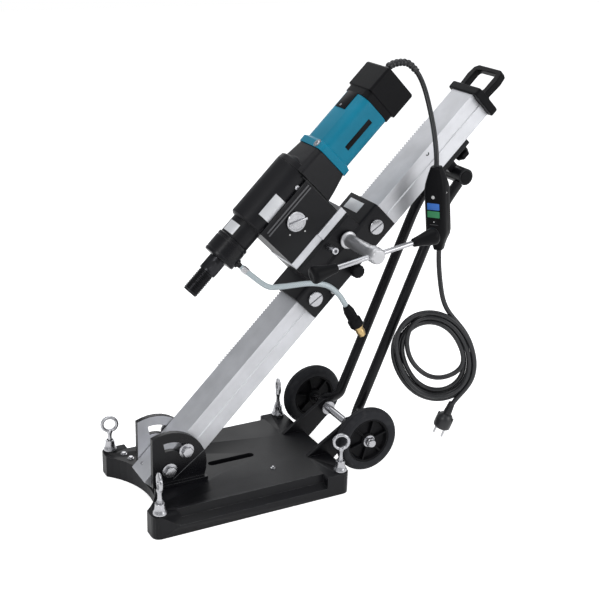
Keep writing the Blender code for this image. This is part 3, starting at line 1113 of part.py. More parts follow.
def cord_box(parent, top):
    half_w = BOX_WIDTH / 2
    half_d = BOX_DEPTH / 2
    h = BOX_HEIGHT
    place = {"parent": parent}
    sections = [
        (-h, rounded_rectangle(9 * MM, 9 * MM, 5 * MM, 2)),
        (-h + 22 * MM, rounded_rectangle(16 * MM, 13 * MM, 6 * MM, 2)),
        (-h + 42 * MM, rounded_rectangle(half_w, half_d, 7 * MM, 2)),
        (-44 * MM, rounded_rectangle(half_w, half_d, 7 * MM, 2)),
        (-20 * MM, rounded_rectangle(17 * MM, 13 * MM, 6 * MM, 2)),
        (0, rounded_rectangle(10 * MM, 9 * MM, 5 * MM, 2)),
    ]
    matrix = Matrix.Translation(top) @ Matrix.Rotation(BOX_LEAN, 4, "Y") @ Matrix.Rotation(BOX_TURN, 4, "Z")
    shape = lofted(sections)
    made = solid("cord_box", shape, PLASTIC)
    for z in (-76 * MM, -92 * MM):
        cut(made, box((-13.5 * MM, 13.5 * MM), (-half_d - 5 * MM, -half_d + 4 * MM),
            (z - 7.5 * MM, z + 7.5 * MM)))
    fix(made, matrix, parent)
    for name, z, recipe in (("blue_button", -76 * MM, BLUE), ("green_button", -92 * MM, GREEN)):
        button = solid(name, box((-13 * MM, 13 * MM), (-half_d - 1.5 * MM, -half_d + 2 * MM),
            (z - 7 * MM, z + 7 * MM)), recipe)
        fix(button, matrix, parent)
    return matrix @ Vector((0, 0, -h))


def fix(made, matrix, parent):
    """Sets an object's world place and hangs it on its parent without moving it."""
    bpy.context.view_layer.update()
    made.parent = parent
    made.matrix_parent_inverse = parent.matrix_world.inverted()
    made.matrix_basis = matrix


def coil_and_plug(parent, box_bottom):
    middle = v(474.7, -109.5, 244)
    level = Matrix.Rotation(COIL_TURN, 3, "Z") @ Vector((1, 0, 0))
    half = COIL_THICKNESS / 2
    body = (COIL_RADIUS + COIL_INNER_RADIUS) / 2
    reach = (COIL_RADIUS - COIL_INNER_RADIUS) / 2
    profile = [(body + reach * math.cos(a), half * math.sin(a)) for a in
               (math.radians(360 * step / 6) for step in range(6))]
    ring = turned([*profile, profile[0]], "y", steps=28)
    for vertex in ring.verts:
        angle = 2 * math.atan2(vertex.co.z, vertex.co.x)
        sag = 1 - COIL_SAG[0] * math.cos(angle) - COIL_SAG[1] * math.sin(angle)
        vertex.co.x *= sag
        vertex.co.z *= sag
    made = solid("cord_coil", ring, RUBBER)
    fix(made, Matrix.Translation(middle) @ Matrix.Rotation(COIL_TURN, 4, "Z"), parent)

    def beside(across, up):
        return middle + level * (across * MM) + Vector((0, 0, up * MM))

    drop = [box_bottom, box_bottom + v(0, -2, -30), box_bottom + v(2, -7, -58), beside(5.4, 146),
            beside(10, 125), beside(16.6, 105)]
    route = trimmed(smooth_route(drop, 20 * MM), 1.2 * MM, 1.5 * MM)
    bent_tube("lower_cord", route, CORD_RADIUS, RUBBER, parent, 3)
    tail_start = beside(47.5, -99.5)
    axis = (level * -0.317 - Vector((0, 0, 0.949))).normalized()
    plug = turned([
        (0, 0), (CORD_RADIUS, 0), (CORD_RADIUS, 4 * MM), (7 * MM, 4 * MM), (9 * MM, 27 * MM), (13 * MM, 31 * MM),
        (18.5 * MM, 41 * MM), (18.5 * MM, 58 * MM), (15 * MM, 62 * MM), (0, 62 * MM)], "z", steps=18)
    turn = Vector((0, 0, 1)).rotation_difference(axis).to_matrix().to_4x4()
    plug_object = solid("mains_plug", plug, PLASTIC)
    for side in (-1, 1):
        join(plug_object, rod(2.4 * MM, 56 * MM, 81 * MM, "z", (side * 9.5 * MM, 0, 0), 10))
    fix(plug_object, Matrix.Translation(tail_start + axis * 2 * MM) @ turn, parent)


def water_hose(parent):
    out = math.radians(-32)
    reach = SWIVEL_RADIUS + 9 * MM
    start = column_point(436 * MM, -SPINDLE_X - reach * math.cos(out), reach * math.sin(out))
    away = column_point(436 * MM, -SPINDLE_X - (reach + 0.02) * math.cos(out),
        (reach + 0.02) * math.sin(out))
    route = [
        start, away, column_point(440 * MM, 118 * MM, -52 * MM), column_point(457 * MM, 98 * MM, -59 * MM),
        column_point(478 * MM, 78 * MM, -63 * MM), column_point(501 * MM, 54 * MM, -66 * MM),
        column_point(519 * MM, 24 * MM, -70 * MM), column_point(521 * MM, -8 * MM, -74 * MM),
        column_point(514 * MM, -38 * MM, -77 * MM),
    ]
    points = smooth_route(route, 18 * MM)
    bent_tube("water_hose", trimmed(points, GAP, GAP), HOSE_RADIUS, HOSE_PLASTIC, parent, 3)
    end = points[-1]
    axis = (points[-1] - points[-3]).normalized()
    coupling = turned([
        (0, 0), (8 * MM, 0), (11 * MM, 12 * MM), (11 * MM, 30 * MM), (14 * MM, 34 * MM), (14 * MM, 48 * MM),
        (9 * MM, 54 * MM), (9 * MM, 74 * MM), (0, 74 * MM)], "z", steps=18)
    made = solid("hose_coupling", coupling, PLASTIC)
    turn = Vector((0, 0, 1)).rotation_difference(axis).to_matrix().to_4x4()
    fix(made, Matrix.Translation(end) @ turn, parent)


# ---- the rig ---------------------------------------------------------------------------------------
def build():
    clear_scene()
    base_plate()
    cheeks()
    foot_bolt("pivot_bolt", None, (PIVOT_X, 0, PIVOT_Z))
    levelling_screws()
    wheels()
    back_stays()
    column_axis = axis_empty("column_axis", at=(PIVOT_X, 0, PIVOT_Z), turn=(0, math.pi / 2 - TILT, 0))
    column(column_axis)
    rack(column_axis)
    top_handle(column_axis)
    foot_bolt("clamp_bolt", column_axis, (0, 0, CLAMP_BOLT_DISTANCE))
    stay_clamp(column_axis)
    carriage_axis = axis_empty("carriage_axis", column_axis)
    carriage(carriage_axis)
    guides(carriage_axis)
    crank(carriage_axis)
    carriage_controls(carriage_axis)
    mount_plate(carriage_axis)
    gearbox(carriage_axis)
    spindle(carriage_axis)
    gear_train(carriage_axis)
    gear_dial(carriage_axis)
    motor(carriage_axis)
    bpy.context.view_layer.update()
    box_top = power_cord(carriage_axis)
    coil_and_plug(carriage_axis, cord_box(carriage_axis, box_top))
    water_hose(carriage_axis)


build()
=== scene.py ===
# %% [markdown]
# # A core drill rig
# A cast base on levelling screws carries a tilting aluminium column. A geared carriage climbs the
# column on a rack and holds a water-fed drill motor. This lesson dresses the rig's engineering model:
# its moving bodies are already fixed, and every new piece is hung on one of them.

# %% Load the engineering frame
import json
import math

import bpy
from mathutils import Matrix, Vector

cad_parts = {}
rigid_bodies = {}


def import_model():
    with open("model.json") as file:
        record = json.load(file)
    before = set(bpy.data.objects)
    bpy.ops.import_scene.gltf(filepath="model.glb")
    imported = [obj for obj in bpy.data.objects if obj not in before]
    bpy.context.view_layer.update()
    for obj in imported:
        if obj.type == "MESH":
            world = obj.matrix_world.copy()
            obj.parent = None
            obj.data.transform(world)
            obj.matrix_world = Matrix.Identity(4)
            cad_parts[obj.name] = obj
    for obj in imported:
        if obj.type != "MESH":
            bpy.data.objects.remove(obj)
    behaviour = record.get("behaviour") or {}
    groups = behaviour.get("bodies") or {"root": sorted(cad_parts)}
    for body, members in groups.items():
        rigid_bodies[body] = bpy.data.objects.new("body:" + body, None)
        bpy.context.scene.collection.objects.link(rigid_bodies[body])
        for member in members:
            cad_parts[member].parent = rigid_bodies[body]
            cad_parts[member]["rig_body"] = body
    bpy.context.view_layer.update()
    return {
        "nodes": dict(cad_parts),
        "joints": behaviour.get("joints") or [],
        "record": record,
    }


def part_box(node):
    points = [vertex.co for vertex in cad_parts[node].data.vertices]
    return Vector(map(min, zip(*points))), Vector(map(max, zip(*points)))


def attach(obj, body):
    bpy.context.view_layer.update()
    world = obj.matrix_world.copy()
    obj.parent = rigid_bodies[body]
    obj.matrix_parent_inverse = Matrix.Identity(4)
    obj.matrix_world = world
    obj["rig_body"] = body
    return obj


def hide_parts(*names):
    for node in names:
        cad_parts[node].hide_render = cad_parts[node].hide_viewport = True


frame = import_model()
MM = 0.001
joints = {joint["name"]: joint for joint in frame["joints"]}

# %% [markdown]
# ## Camera
# The rig is seen from its front near corner, a little from above. A long lens from 2.3 m keeps the
# column's edges nearly parallel, as a catalogue picture does.

# %% Camera
FOCAL_LENGTH = 68.88
CAMERA_AT = Vector((-0.8123, -1.8811, 1.1815))
CAMERA_RIGHT = Vector((0.88198, -0.47037, 0.02931))
CAMERA_UP = Vector((0.14254, 0.32552, 0.93473))

lens = bpy.data.cameras.new("camera")
lens.lens = FOCAL_LENGTH
lens.sensor_width = 36
lens.clip_start, lens.clip_end = 0.05, 50
camera = bpy.data.objects.new("camera", lens)
bpy.context.scene.collection.objects.link(camera)
back = CAMERA_RIGHT.cross(CAMERA_UP)
camera.matrix_world = Matrix((
    (CAMERA_RIGHT.x, CAMERA_UP.x, back.x, CAMERA_AT.x),
    (CAMERA_RIGHT.y, CAMERA_UP.y, back.y, CAMERA_AT.y),
    (CAMERA_RIGHT.z, CAMERA_UP.z, back.z, CAMERA_AT.z),
    (0, 0, 0, 1),
))
bpy.context.scene.camera = camera
print("camera", round(CAMERA_AT.length, 3), "m from the origin")

# %% [markdown]
# ## Column axes
# Everything on the column leans with it. It is easiest to model those pieces upright, with z along the
# column, y across it and x towards its back, and to turn the finished mesh once.

# %% Column axes
PIVOT_TO_MIDDLE = 12 * MM
PIVOT_FROM_END = 49 * MM
pivot = Vector(joints["column_tilt"]["pos_m"])
along = Vector(joints["carriage_feed"]["axis"]).normalized()
rear = Vector((along.z, 0, -along.x))
foot = pivot + rear * PIVOT_TO_MIDDLE - along * PIVOT_FROM_END
DRILL_FORWARD = 209    # from the column's middle to the drill's axis
LATHE_TO_NEAR = Matrix.Rotation(math.radians(90), 4, "X")
COLUMN = Matrix((
    (rear.x, 0, along.x, foot.x), (0, 1, 0, 0), (rear.z, 0, along.z, foot.z), (0, 0, 0, 1)))


def at(x, y, z):
    """A point given in millimetres."""
    return Vector((x, y, z)) * MM


def shift(x, y, z):
    """A move in millimetres."""
    return Matrix.Translation(at(x, y, z))


def spin(degrees, axis):
    return Matrix.Rotation(math.radians(degrees), 4, axis)


def upright_to(direction):
    """The turn that lays a lathe piece's z along a direction."""
    return Vector((0, 0, 1)).rotation_difference(direction).to_matrix().to_4x4()


def on_column(z, forward, y):
    """World point at z along the column and this far in front of its middle, in millimetres."""
    return COLUMN @ Vector((-forward * MM, y * MM, z * MM))


print("column foot", tuple(round(value, 4) for value in foot))

# %% [markdown]
# ## Shader words
# A finish is a small network. Wrapping a socket in a class lets its maths read like arithmetic, and one
# method makes any other node, so that each finish stays a few lines long.

# %% A socket that can be added and multiplied
class Wire:
    def __init__(self, finish, socket):
        self.finish = finish
        self.socket = socket

    def maths(self, operation, first, second):
        return self.finish.node("Math", {"operation": operation}, {0: first, 1: second})

    def __add__(self, other):
        return self.maths("ADD", self, other)

    def __rsub__(self, other):
        return self.maths("SUBTRACT", other, self)

    def __mul__(self, other):
        return self.maths("MULTIPLY", self, other)

    __radd__ = __add__


class Finish:
    """One material: its plain settings, and words for the patterns that vary over it."""

    def __init__(self, name, colour, roughness, metallic=0.0, **settings):
        self.material = bpy.data.materials.new(name)
        self.material.use_nodes = True
        self.tree = self.material.node_tree
        self.surface = self.tree.nodes["Principled BSDF"]
        self.surface.inputs["Base Color"].default_value = (*colour, 1)
        self.surface.inputs["Roughness"].default_value = roughness
        self.surface.inputs["Metallic"].default_value = metallic
        for socket, value in settings.items():
            self.surface.inputs[socket.replace("_", " ")].default_value = value

    def node(self, kind, settings, values, output=0):
        made = self.tree.nodes.new("ShaderNode" + kind)
        for name, value in settings.items():
            if name == "stops":
                for stop, (place, shade) in zip(made.color_ramp.elements, value):
                    stop.position, stop.color = place, (*shade, 1)
            else:
                setattr(made, name, value)
        for name, value in values.items():
            if isinstance(value, Wire):
                self.tree.links.new(value.socket, made.inputs[name])
            else:
                made.inputs[name].default_value = value
        return Wire(self, made.outputs[output])

    def feed(self, socket, wire):
        self.tree.links.new(wire.socket, self.surface.inputs[socket])

    def place(self, stretch=(1, 1, 1), turn=(0, 0, 0)):
        """Object coordinates, squeezed or turned."""
        where = self.node("TexCoord", {}, {}, "Object")
        return self.node("Mapping", {}, {"Vector": where, "Scale": stretch, "Rotation": turn})

    def noise(self, scale, detail=3, where=None):
        return self.node("TexNoise", {}, {"Vector": where or self.place(), "Scale": scale,
                                          "Detail": detail})

    def clamp(self, wire, low, high):
        """The wire's range low to high, spread over 0 to 1."""
        return self.node("MapRange", {}, {"Value": wire, "From Min": low, "From Max": high})

    def tint(self, factor, first, second):
        """A colour between two others."""
        return self.node("Mix", {"data_type": "RGBA"}, {0: factor, 6: first, 7: second}, 2)

    def edges(self, reach):
        """About 1 within reach of a sharp edge, and 0 on the flat."""
        soft = self.node("Bevel", {"samples": 4}, {"Radius": reach})
        hard = self.node("NewGeometry", {}, {}, "Normal")
        match = self.node("VectorMath", {"operation": "DOT_PRODUCT"}, {0: soft, 1: hard}, "Value")
        return self.clamp(1 - match, 0.005, 0.12)

    def bumps(self, *layers):
        """Bumps on each other: (height wire, strength, depth in metres)."""
        normal = None
        for height, strength, depth in layers:
            values = {"Height": height, "Strength": strength, "Distance": depth}
            if normal:
                values["Normal"] = normal
            normal = self.node("Bump", {}, values)
        self.feed("Normal", normal)


def shade(colour, factor):
    return tuple(min(1, value * factor) for value in colour) + (1,)


print("shader words ready")

# %% [markdown]
# ## Cast and painted finishes
# The base, carriage and gearbox are castings in satin black: a fine orange peel, cloudy gloss, and
# edges rubbed a little paler. The brackets and stays have a smoother paint.

# %% Casting and paint
RUBBED_GREY = (0.12, 0.12, 0.125, 1)


def painted(name, colour, roughness, peel, wear):
    made = Finish(name, colour, roughness, Specular_IOR_Level=0.24)
    cloud = made.noise(9)
    speck = made.noise(420, 2)
    worn = made.edges(1.6 * MM) * made.clamp(made.noise(60, 4), 0.3, 0.65)
    base = made.tint(made.clamp(cloud, 0.3, 0.7), shade(colour, 0.8), shade(colour, 1.25))
    made.feed("Base Color", made.tint(worn * wear, base, RUBBED_GREY))
    made.feed("Roughness", roughness - 0.08 + made.clamp(cloud, 0.3, 0.7) * 0.1 + speck * 0.08)
    made.bumps((speck, peel, 0.25 * MM), (made.noise(60, 4), peel * 0.5, 0.5 * MM))
    return made.material


casting = painted("black_casting_finish", (0.005, 0.005, 0.0065), 0.4, 0.3, 0.6)
paint = painted("black_paint_finish", (0.006, 0.006, 0.0075), 0.28, 0.12, 0.5)
# A paler grey copy of the black paint: on the ribs of the brackets and gearbox it is a painted
# highlight.
highlight_and_line_grey = painted("rubbed_edge_finish", (0.11, 0.11, 0.115), 0.42, 0.2, 0.5)
print("castings:", casting.name, paint.name)

# %% [markdown]
# ## Bare metals
# The column is drawn aluminium with streaks along its length, so its noise is stretched that way.
# Screws and bolts are bright zinc with faint clouds, and turned steel has fine rings.

# %% Aluminium, zinc and steel


def metal(name, colour, roughness, stretch, turn, grain, spread, depth):
    made = Finish(name, colour, roughness, 1.0)
    where = made.place(stretch, turn)
    streak = made.noise(grain, 3, where)
    cloud = made.noise(22, 3)
    patch = made.clamp(cloud, 0.3, 0.7)
    made.feed("Base Color", made.tint(patch * 0.6 + streak * 0.4, shade(colour, 0.86),
                                      shade(colour, 1.12)))
    made.feed("Roughness", roughness - spread / 2 + streak * spread + patch * 0.05)
    made.bumps((streak, depth, 0.1 * MM))
    return made.material


LEAN = (0, -math.pi / 4, 0)
aluminium = metal("satin_aluminium_finish", (0.67, 0.675, 0.7), 0.5, (1, 1, 0.02), LEAN, 700,
                  0.16, 0.25)
zinc = metal("zinc_plate_finish", (0.5, 0.5, 0.52), 0.24, (1, 1, 1), (0, 0, 0), 260, 0.12, 0.12)
steel = metal("bright_steel_finish", (0.6, 0.6, 0.615), 0.42, (0.1, 1, 1), LEAN, 500, 0.08, 0.08)
brass = metal("brass_finish", (0.6, 0.43, 0.2), 0.3, (1, 1, 1), (0, 0, 0), 300, 0.14, 0.15)
copper = metal("copper_winding_finish", (0.7, 0.33, 0.17), 0.35, (1, 1, 1), (0, 0, 0), 500, 0.1, 0.3)
print("metals ready")

# %% [markdown]
# ## Plastics and rubbers
# Moulded shells have a fine spark texture. Rubber is duller and gathers a little dust. The pale hose
# shows a woven braid under its clear skin, which follows the hose's own length and girth.

# %% Plastics and rubbers
DUST_GREY = (0.12, 0.12, 0.115, 1)


def moulded(name, colour, roughness, grain, depth, dust=0.0, **settings):
    made = Finish(name, colour, roughness, **settings)
    spark = made.noise(grain, 2)
    cloud = made.clamp(made.noise(14, 4), 0.35, 0.75)
    base = made.tint(cloud, shade(colour, 0.9), shade(colour, 1.12))
    if dust:
        base = made.tint(made.clamp(made.noise(90, 5), 0.5, 0.8) * dust, base, DUST_GREY)
    made.feed("Base Color", base)
    made.feed("Roughness", roughness - 0.05 + spark * 0.1 + cloud * 0.04)
    made.bumps((spark, depth, 0.15 * MM))
    return made.material


def braided(name, colour):
    made = Finish(name, colour, 0.28, Coat_Weight=0.5, Coat_Roughness=0.12)
    lay = made.node("UVMap", {}, {})
    one = made.node("TexWave", {"bands_direction": "DIAGONAL"}, {"Vector": lay, "Scale": 6.0})
    turned_lay = made.node("Mapping", {}, {"Vector": lay, "Scale": (-1, 1, 1)})
    other = made.node("TexWave", {"bands_direction": "DIAGONAL"}, {"Vector": turned_lay, "Scale": 6.0})
    weave = one * other
    made.feed("Base Color", made.tint(made.clamp(weave, 0.1, 0.7), shade(colour, 0.72),
                                      shade(colour, 1.2)))
    made.bumps((weave, 0.25, 0.3 * MM))
    return made.material


teal = moulded("teal_shell_finish", (0.004, 0.2, 0.315), 0.36, 900, 0.12, Specular_IOR_Level=0.22)
tyre_rubber = moulded("tyre_rubber_finish", (0.019, 0.0195, 0.023), 0.62, 500, 0.4, 0.15,
                      Specular_IOR_Level=0.2)
cord_rubber = moulded("cord_rubber_finish", (0.014, 0.0145, 0.0165), 0.34, 800, 0.12, 0.05,
                      Specular_IOR_Level=0.5)
plastic = moulded("black_plastic_finish", (0.005, 0.005, 0.006), 0.42, 1100, 0.3,
                  Specular_IOR_Level=0.1)
nylon = moulded("nylon_finish", (0.7, 0.68, 0.62), 0.5, 600, 0.15)
blue = moulded("blue_button_finish", (0.05, 0.21, 0.72), 0.38, 900, 0.1)
green = moulded("green_button_finish", (0.045, 0.3, 0.12), 0.38, 900, 0.1)
white_mark = moulded("white_mark_finish", (0.75, 0.75, 0.74), 0.45, 900, 0.1)
label = moulded("bare_label_finish", (0.76, 0.77, 0.79), 0.4, 700, 0.06, metallic=0.35)
hose_skin = braided("hose_plastic_finish", (0.56, 0.64, 0.67))
FINISHES = {
    "black_casting": casting, "black_paint": paint, "satin_aluminium": aluminium, "zinc_plate": zinc,
    "bright_steel": steel, "teal_shell": teal, "tyre_rubber": tyre_rubber, "cord_rubber": cord_rubber,
    "black_plastic": plastic, "nylon": nylon, "copper_winding": copper, "hose_plastic": hose_skin,
    "blue_button": blue, "green_button": green,
}
SLOT_OF = {part["node"]: part["material_slot"] for part in frame["record"]["subparts"]}
for node, thing in frame["nodes"].items():
    for holder in thing.material_slots:
        holder.material = FINISHES[SLOT_OF[node]]
print(len(FINISHES), "finishes on", len(frame["nodes"]), "nodes")

# %% [markdown]
# ## Hand tools
# Every piece starts from a primitive. These few helpers deselect everything first, put the finished
# place into the mesh, round the edges, and hang the piece on its body.

# %% Select, settle, round and hang


def clear_selection():
    bpy.ops.object.select_all(action="DESELECT")


def pick(*things):
    clear_selection()
    for thing in things:
        thing.select_set(True)
    bpy.context.view_layer.objects.active = things[0]


def edit_all():
    """Opens the active mesh with all of it selected."""
    bpy.ops.object.mode_set(mode="EDIT")
    bpy.ops.mesh.select_all(action="SELECT")


def close_edit():
    bpy.ops.object.mode_set(mode="OBJECT")


def face_outwards():
    """Turns every face of the open mesh outwards and closes it."""
    bpy.ops.mesh.select_all(action="SELECT")
    bpy.ops.mesh.normals_make_consistent(inside=False)
    close_edit()


def take(name):
    """The primitive that was just added, under its own name."""
    piece = bpy.context.object
    piece.name = piece.data.name = name
    return piece


def settle(piece, place=Matrix()):
    """Leaves the object at the origin, with its place in its mesh."""
    piece.data.transform(place @ piece.matrix_basis)
    piece.matrix_basis = Matrix()
    return piece


def finished_with(piece, kind, **settings):
    """Adds a modifier and applies it."""
    pick(piece)
    modifier = piece.modifiers.new("work", kind)
    for name, value in settings.items():
        setattr(modifier, name, value)
    bpy.ops.object.modifier_apply(modifier="work")
    return piece


def rounded(piece, width, segments=2):
    return finished_with(piece, "BEVEL", width=width * MM, segments=segments, limit_method="ANGLE",
                         angle_limit=math.radians(30), use_clamp_overlap=False)


def hang(piece, body, slot, finish=None, nodes=()):
    """Smooths the piece, gives it its finish and lets it ride on a body in place of CAD nodes."""
    pick(piece)
    bpy.ops.object.shade_smooth_by_angle(angle=math.radians(35))
    piece.data.materials.clear()
    piece.data.materials.append(finish or FINISHES[slot])
    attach(piece, body)
    if nodes:
        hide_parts(*nodes)
    return piece


def joined(name, *things):
    """Makes one piece of several."""
    pick(*things)
    bpy.ops.object.join()
    return take(name)


def twin(piece, name, place):
    """A copy with its own mesh, moved by a matrix."""
    copy = piece.copy()
    copy.data = piece.data.copy()
    copy.name = copy.data.name = name
    bpy.context.scene.collection.objects.link(copy)
    return settle(copy, place)


def turned(name, outline, steps=40, edge=0.0, place=Matrix()):
    """Draws half an outline of (radius, height) from one point and spins it round z, like a lathe."""
    clear_selection()
    bpy.ops.mesh.primitive_plane_add(size=MM)
    piece = take(name)
    edit_all()
    bpy.ops.mesh.merge(type="CENTER")
    before = Vector()
    for number, (radius, height) in enumerate(outline):
        here = Vector((radius * MM, 0, height * MM))
        if number:
            bpy.ops.mesh.extrude_vertices_move(TRANSFORM_OT_translate={"value": here - before})
        else:
            bpy.ops.transform.translate(value=here)
        before = here
    bpy.ops.mesh.select_all(action="SELECT")
    bpy.ops.mesh.spin(steps=steps, angle=2 * math.pi, center=(0, 0, 0), axis=(0, 0, 1))
    bpy.ops.mesh.select_all(action="SELECT")
    bpy.ops.mesh.remove_doubles(threshold=1e-6)
    bpy.ops.mesh.normals_make_consistent(inside=False)
    close_edit()
    if edge:
        rounded(piece, edge)
    return settle(piece, place)


def block(name, x, y, z, edge=0.5, place=Matrix(), taper=1.0):
    """A cube set to its (low, high) sides in millimetres, its top narrowed, its edges rounded."""
    clear_selection()
    bpy.ops.mesh.primitive_cube_add(size=1, location=[sum(side) / 2 * MM for side in (x, y, z)])
    piece = take(name)
    piece.scale = [(side[1] - side[0]) * MM for side in (x, y, z)]
    settle(piece)
    if taper != 1.0:
        bpy.ops.object.mode_set(mode="EDIT")
        bpy.ops.mesh.select_all(action="DESELECT")
        close_edit()
        for face in piece.data.polygons:
            face.select = face.normal.z > 0.9
        bpy.ops.object.mode_set(mode="EDIT")
        bpy.ops.transform.resize(value=(taper, taper, 1))
        close_edit()
    if edge:
        rounded(piece, edge)
    return settle(piece, place)


BODY_OF = {node: thing["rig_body"] for node, thing in frame["nodes"].items()}


def reskin(node, edge, segments=2, whole=True):
    """Hangs a clean copy of a CAD node: loose triangles merged, and edges rounded.

    A whole skin also has its flat faces made whole and shaded flat.
    """
    piece = frame["nodes"][node].copy()
    piece.data = piece.data.copy()
    piece.name = piece.data.name = node + "_skin"
    for key in [key for key in piece.keys() if key.startswith("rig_")]:
        del piece[key]
    piece.parent = None
    bpy.context.scene.collection.objects.link(piece)
    piece.hide_render = piece.hide_viewport = False
    pick(piece)
    edit_all()
    bpy.ops.mesh.remove_doubles(threshold=4e-6)
    if whole:
        bpy.ops.mesh.dissolve_limited(angle_limit=math.radians(1))
    close_edit()
    if edge:
        rounded(piece, edge, segments)
    hang(piece, BODY_OF[node], SLOT_OF[node], nodes=(node,))
    if whole:
        finished_with(piece, "WEIGHTED_NORMAL", keep_sharp=True, weight=70)
    return piece


print("tools ready")

# %% [markdown]
# ## Cords and hose
# A cord is one smooth line first and a tube second. The line runs through a few placed points, is read
# at an even spacing, and a ring of vertices is carried along it without twisting. The same line gives
# the cord's length.

# %% A smooth line and a tube along it


def smooth_line(points, spacing):
    """A smooth curve through the points, read at an even spacing in metres."""
    fine = []
    padded = [2 * points[0] - points[1], *points, 2 * points[-1] - points[-2]]
    for before, start, end, after in zip(padded, padded[1:], padded[2:], padded[3:]):
        for step in range(16):
            t = step / 16
            fine.append(0.5 * (
                2 * start + (end - before) * t + (2 * before - 5 * start + 4 * end - after) * t ** 2
                + (3 * start - before - 3 * end + after) * t ** 3))
    fine.append(points[-1])
    reached = [0.0]
    for first, second in zip(fine, fine[1:]):
        reached.append(reached[-1] + (second - first).length)
    count = max(2, round(reached[-1] / spacing))
    even, place = [], 0
    for number in range(count + 1):
        wanted = reached[-1] * number / count
        while place < len(fine) - 2 and reached[place + 1] < wanted:
            place += 1
        share = (wanted - reached[place]) / max(1e-9, reached[place + 1] - reached[place])
        even.append(fine[place].lerp(fine[place + 1], min(1, max(0, share))))
    return even


def relaxed(points, passes):
    """Evens out tight bends, with both ends kept."""
    for _ in range(passes):
        middles = [(a + 2 * b + c) / 4 for a, b, c in zip(points, points[1:], points[2:])]
        points = [points[0], *middles, points[-1]]
    return points


def length_of(points):
    return sum((second - first).length for first, second in zip(points, points[1:]))


def tube_along(name, points, radius, sides=16):
    """A closed tube along the points, with its length and girth in its UV map. radius may be a list."""
    radii = radius if isinstance(radius, list) else [radius] * len(points)
    tangents = [(points[min(i + 1, len(points) - 1)] - points[max(i - 1, 0)]).normalized()
                for i in range(len(points))]
    side = tangents[0].orthogonal().normalized()
    corners, faces, reached = [], [], [0.0]
    for number, (point, tangent, size) in enumerate(zip(points, tangents, radii)):
        side = (side - tangent * side.dot(tangent)).normalized()
        other = tangent.cross(side)
        for step in range(sides):
            turn = 2 * math.pi * step / sides
            corners.append(point + (side * math.cos(turn) + other * math.sin(turn)) * size)
        if number:
            reached.append(reached[-1] + (point - points[number - 1]).length)
            low, high = (number - 1) * sides, number * sides
            for step in range(sides):
                after = (step + 1) % sides
                faces.append((low + step, low + after, high + after, high + step))
    faces.append(tuple(reversed(range(sides))))
    faces.append(tuple(range(len(corners) - sides, len(corners))))
    mesh = bpy.data.meshes.new(name)
    mesh.from_pydata(corners, [], faces)
    layer = mesh.uv_layers.new(name="UVMap")
    girth = 2 * math.pi * max(radii)
    for face in mesh.polygons:
        for loop, vertex in zip(face.loop_indices, face.vertices):
            ring, step = divmod(vertex, sides)
            share = step / sides
            if share == 0 and len(face.vertices) == 4 and max(v % sides for v in face.vertices) > 1:
                share = 1.0
            layer.data[loop].uv = (share, reached[ring] / girth)
    piece = bpy.data.objects.new(name, mesh)
    bpy.context.scene.collection.objects.link(piece)
    return piece


print("cord tools ready")

# %% [markdown]
# ## The lead from the motor to the cord box
# A ribbed rubber guard keeps the lead from bending sharply where it leaves the motor's rear cap. The
# lead bows over, hangs down and carries a slim box with two buttons at its lower end.

# %% Upper lead and its ribbed guard
CORD_RADIUS = 5 * MM
root = on_column(904, 206, -15)
guarded = [root, root + at(8, 0, 8), at(411, -15, 833), at(431, -17, 830), at(448, -22, 815)]
guard_line = smooth_line(guarded, 1.5 * MM)
box_top = at(458, -95, 643)
BOX = (Matrix.Translation(box_top) @ spin(-7, "Y")
       @ spin(-58, "Z"))
upper_line = relaxed(smooth_line([
    *guarded, at(455, -28, 800), at(459, -38, 781), at(461, -52, 753), at(462, -70, 715),
    at(460, -85, 682), at(458.5, -94, 655), box_top, BOX @ at(0, 0, -25), BOX @ at(0, 0, -48)],
    8 * MM), 3)
RIB_PITCH = 8.5 * MM
guard_length = length_of(guard_line)
guard_radii = []
for number, point in enumerate(guard_line):
    reached = guard_length * number / (len(guard_line) - 1)
    rib = 0.5 + 0.5 * math.cos(2 * math.pi * reached / RIB_PITCH)
    taper = 1 - 0.16 * reached / guard_length
    guard_radii.append((6.2 * MM + 1.8 * MM * min(1, rib * 1.6)) * taper)
upper_cord = tube_along("upper_cord_run", upper_line, CORD_RADIUS)
cord_guard = tube_along("cord_guard_ribs", guard_line, guard_radii, 24)
hang(upper_cord, "carriage", "cord_rubber", nodes=("upper_cord",))
hang(cord_guard, "carriage", "cord_rubber", nodes=("cord_guard",))
print("upper lead", round(length_of(upper_line), 3), "m")

# %% [markdown]
# ## The cord box
# The box is an isolating switch: a rounded bar that narrows at both ends. It is drawn as one ring that
# is extruded and resized station by station, then given its two buttons, a lamp and small marks.

# %% Cord box body
BOX_END = -172
BOX_STATIONS = [(0, 10, 9), (-6, 12, 10.5), (-20, 17, 13), (-34, 20.5, 18), (-44, 22, 20),
                (-130, 22, 20), (-140, 20.5, 18), (-150, 16, 13), (-162, 11.5, 10.5), (BOX_END, 9, 9)]


def bar_along(name, stations, corner, place):
    """A rounded bar: a rounded square extruded from station to station of (height, half w, half d)."""
    clear_selection()
    height, wide, deep = stations[0]
    bpy.ops.mesh.primitive_plane_add(size=2, location=(0, 0, height * MM))
    piece = take(name)
    piece.scale = (wide * MM, deep * MM, 1)
    bpy.ops.object.transform_apply(location=True, rotation=True, scale=True)
    edit_all()
    bpy.ops.mesh.bevel(offset=corner * MM, segments=5, affect="VERTICES")
    before = stations[0]
    for station in stations[1:]:
        bpy.ops.mesh.extrude_region_move(
            TRANSFORM_OT_translate={"value": (0, 0, (station[0] - before[0]) * MM)})
        bpy.ops.transform.resize(value=(station[1] / before[1], station[2] / before[2], 1))
        before = station
    face_outwards()
    return settle(piece, place)


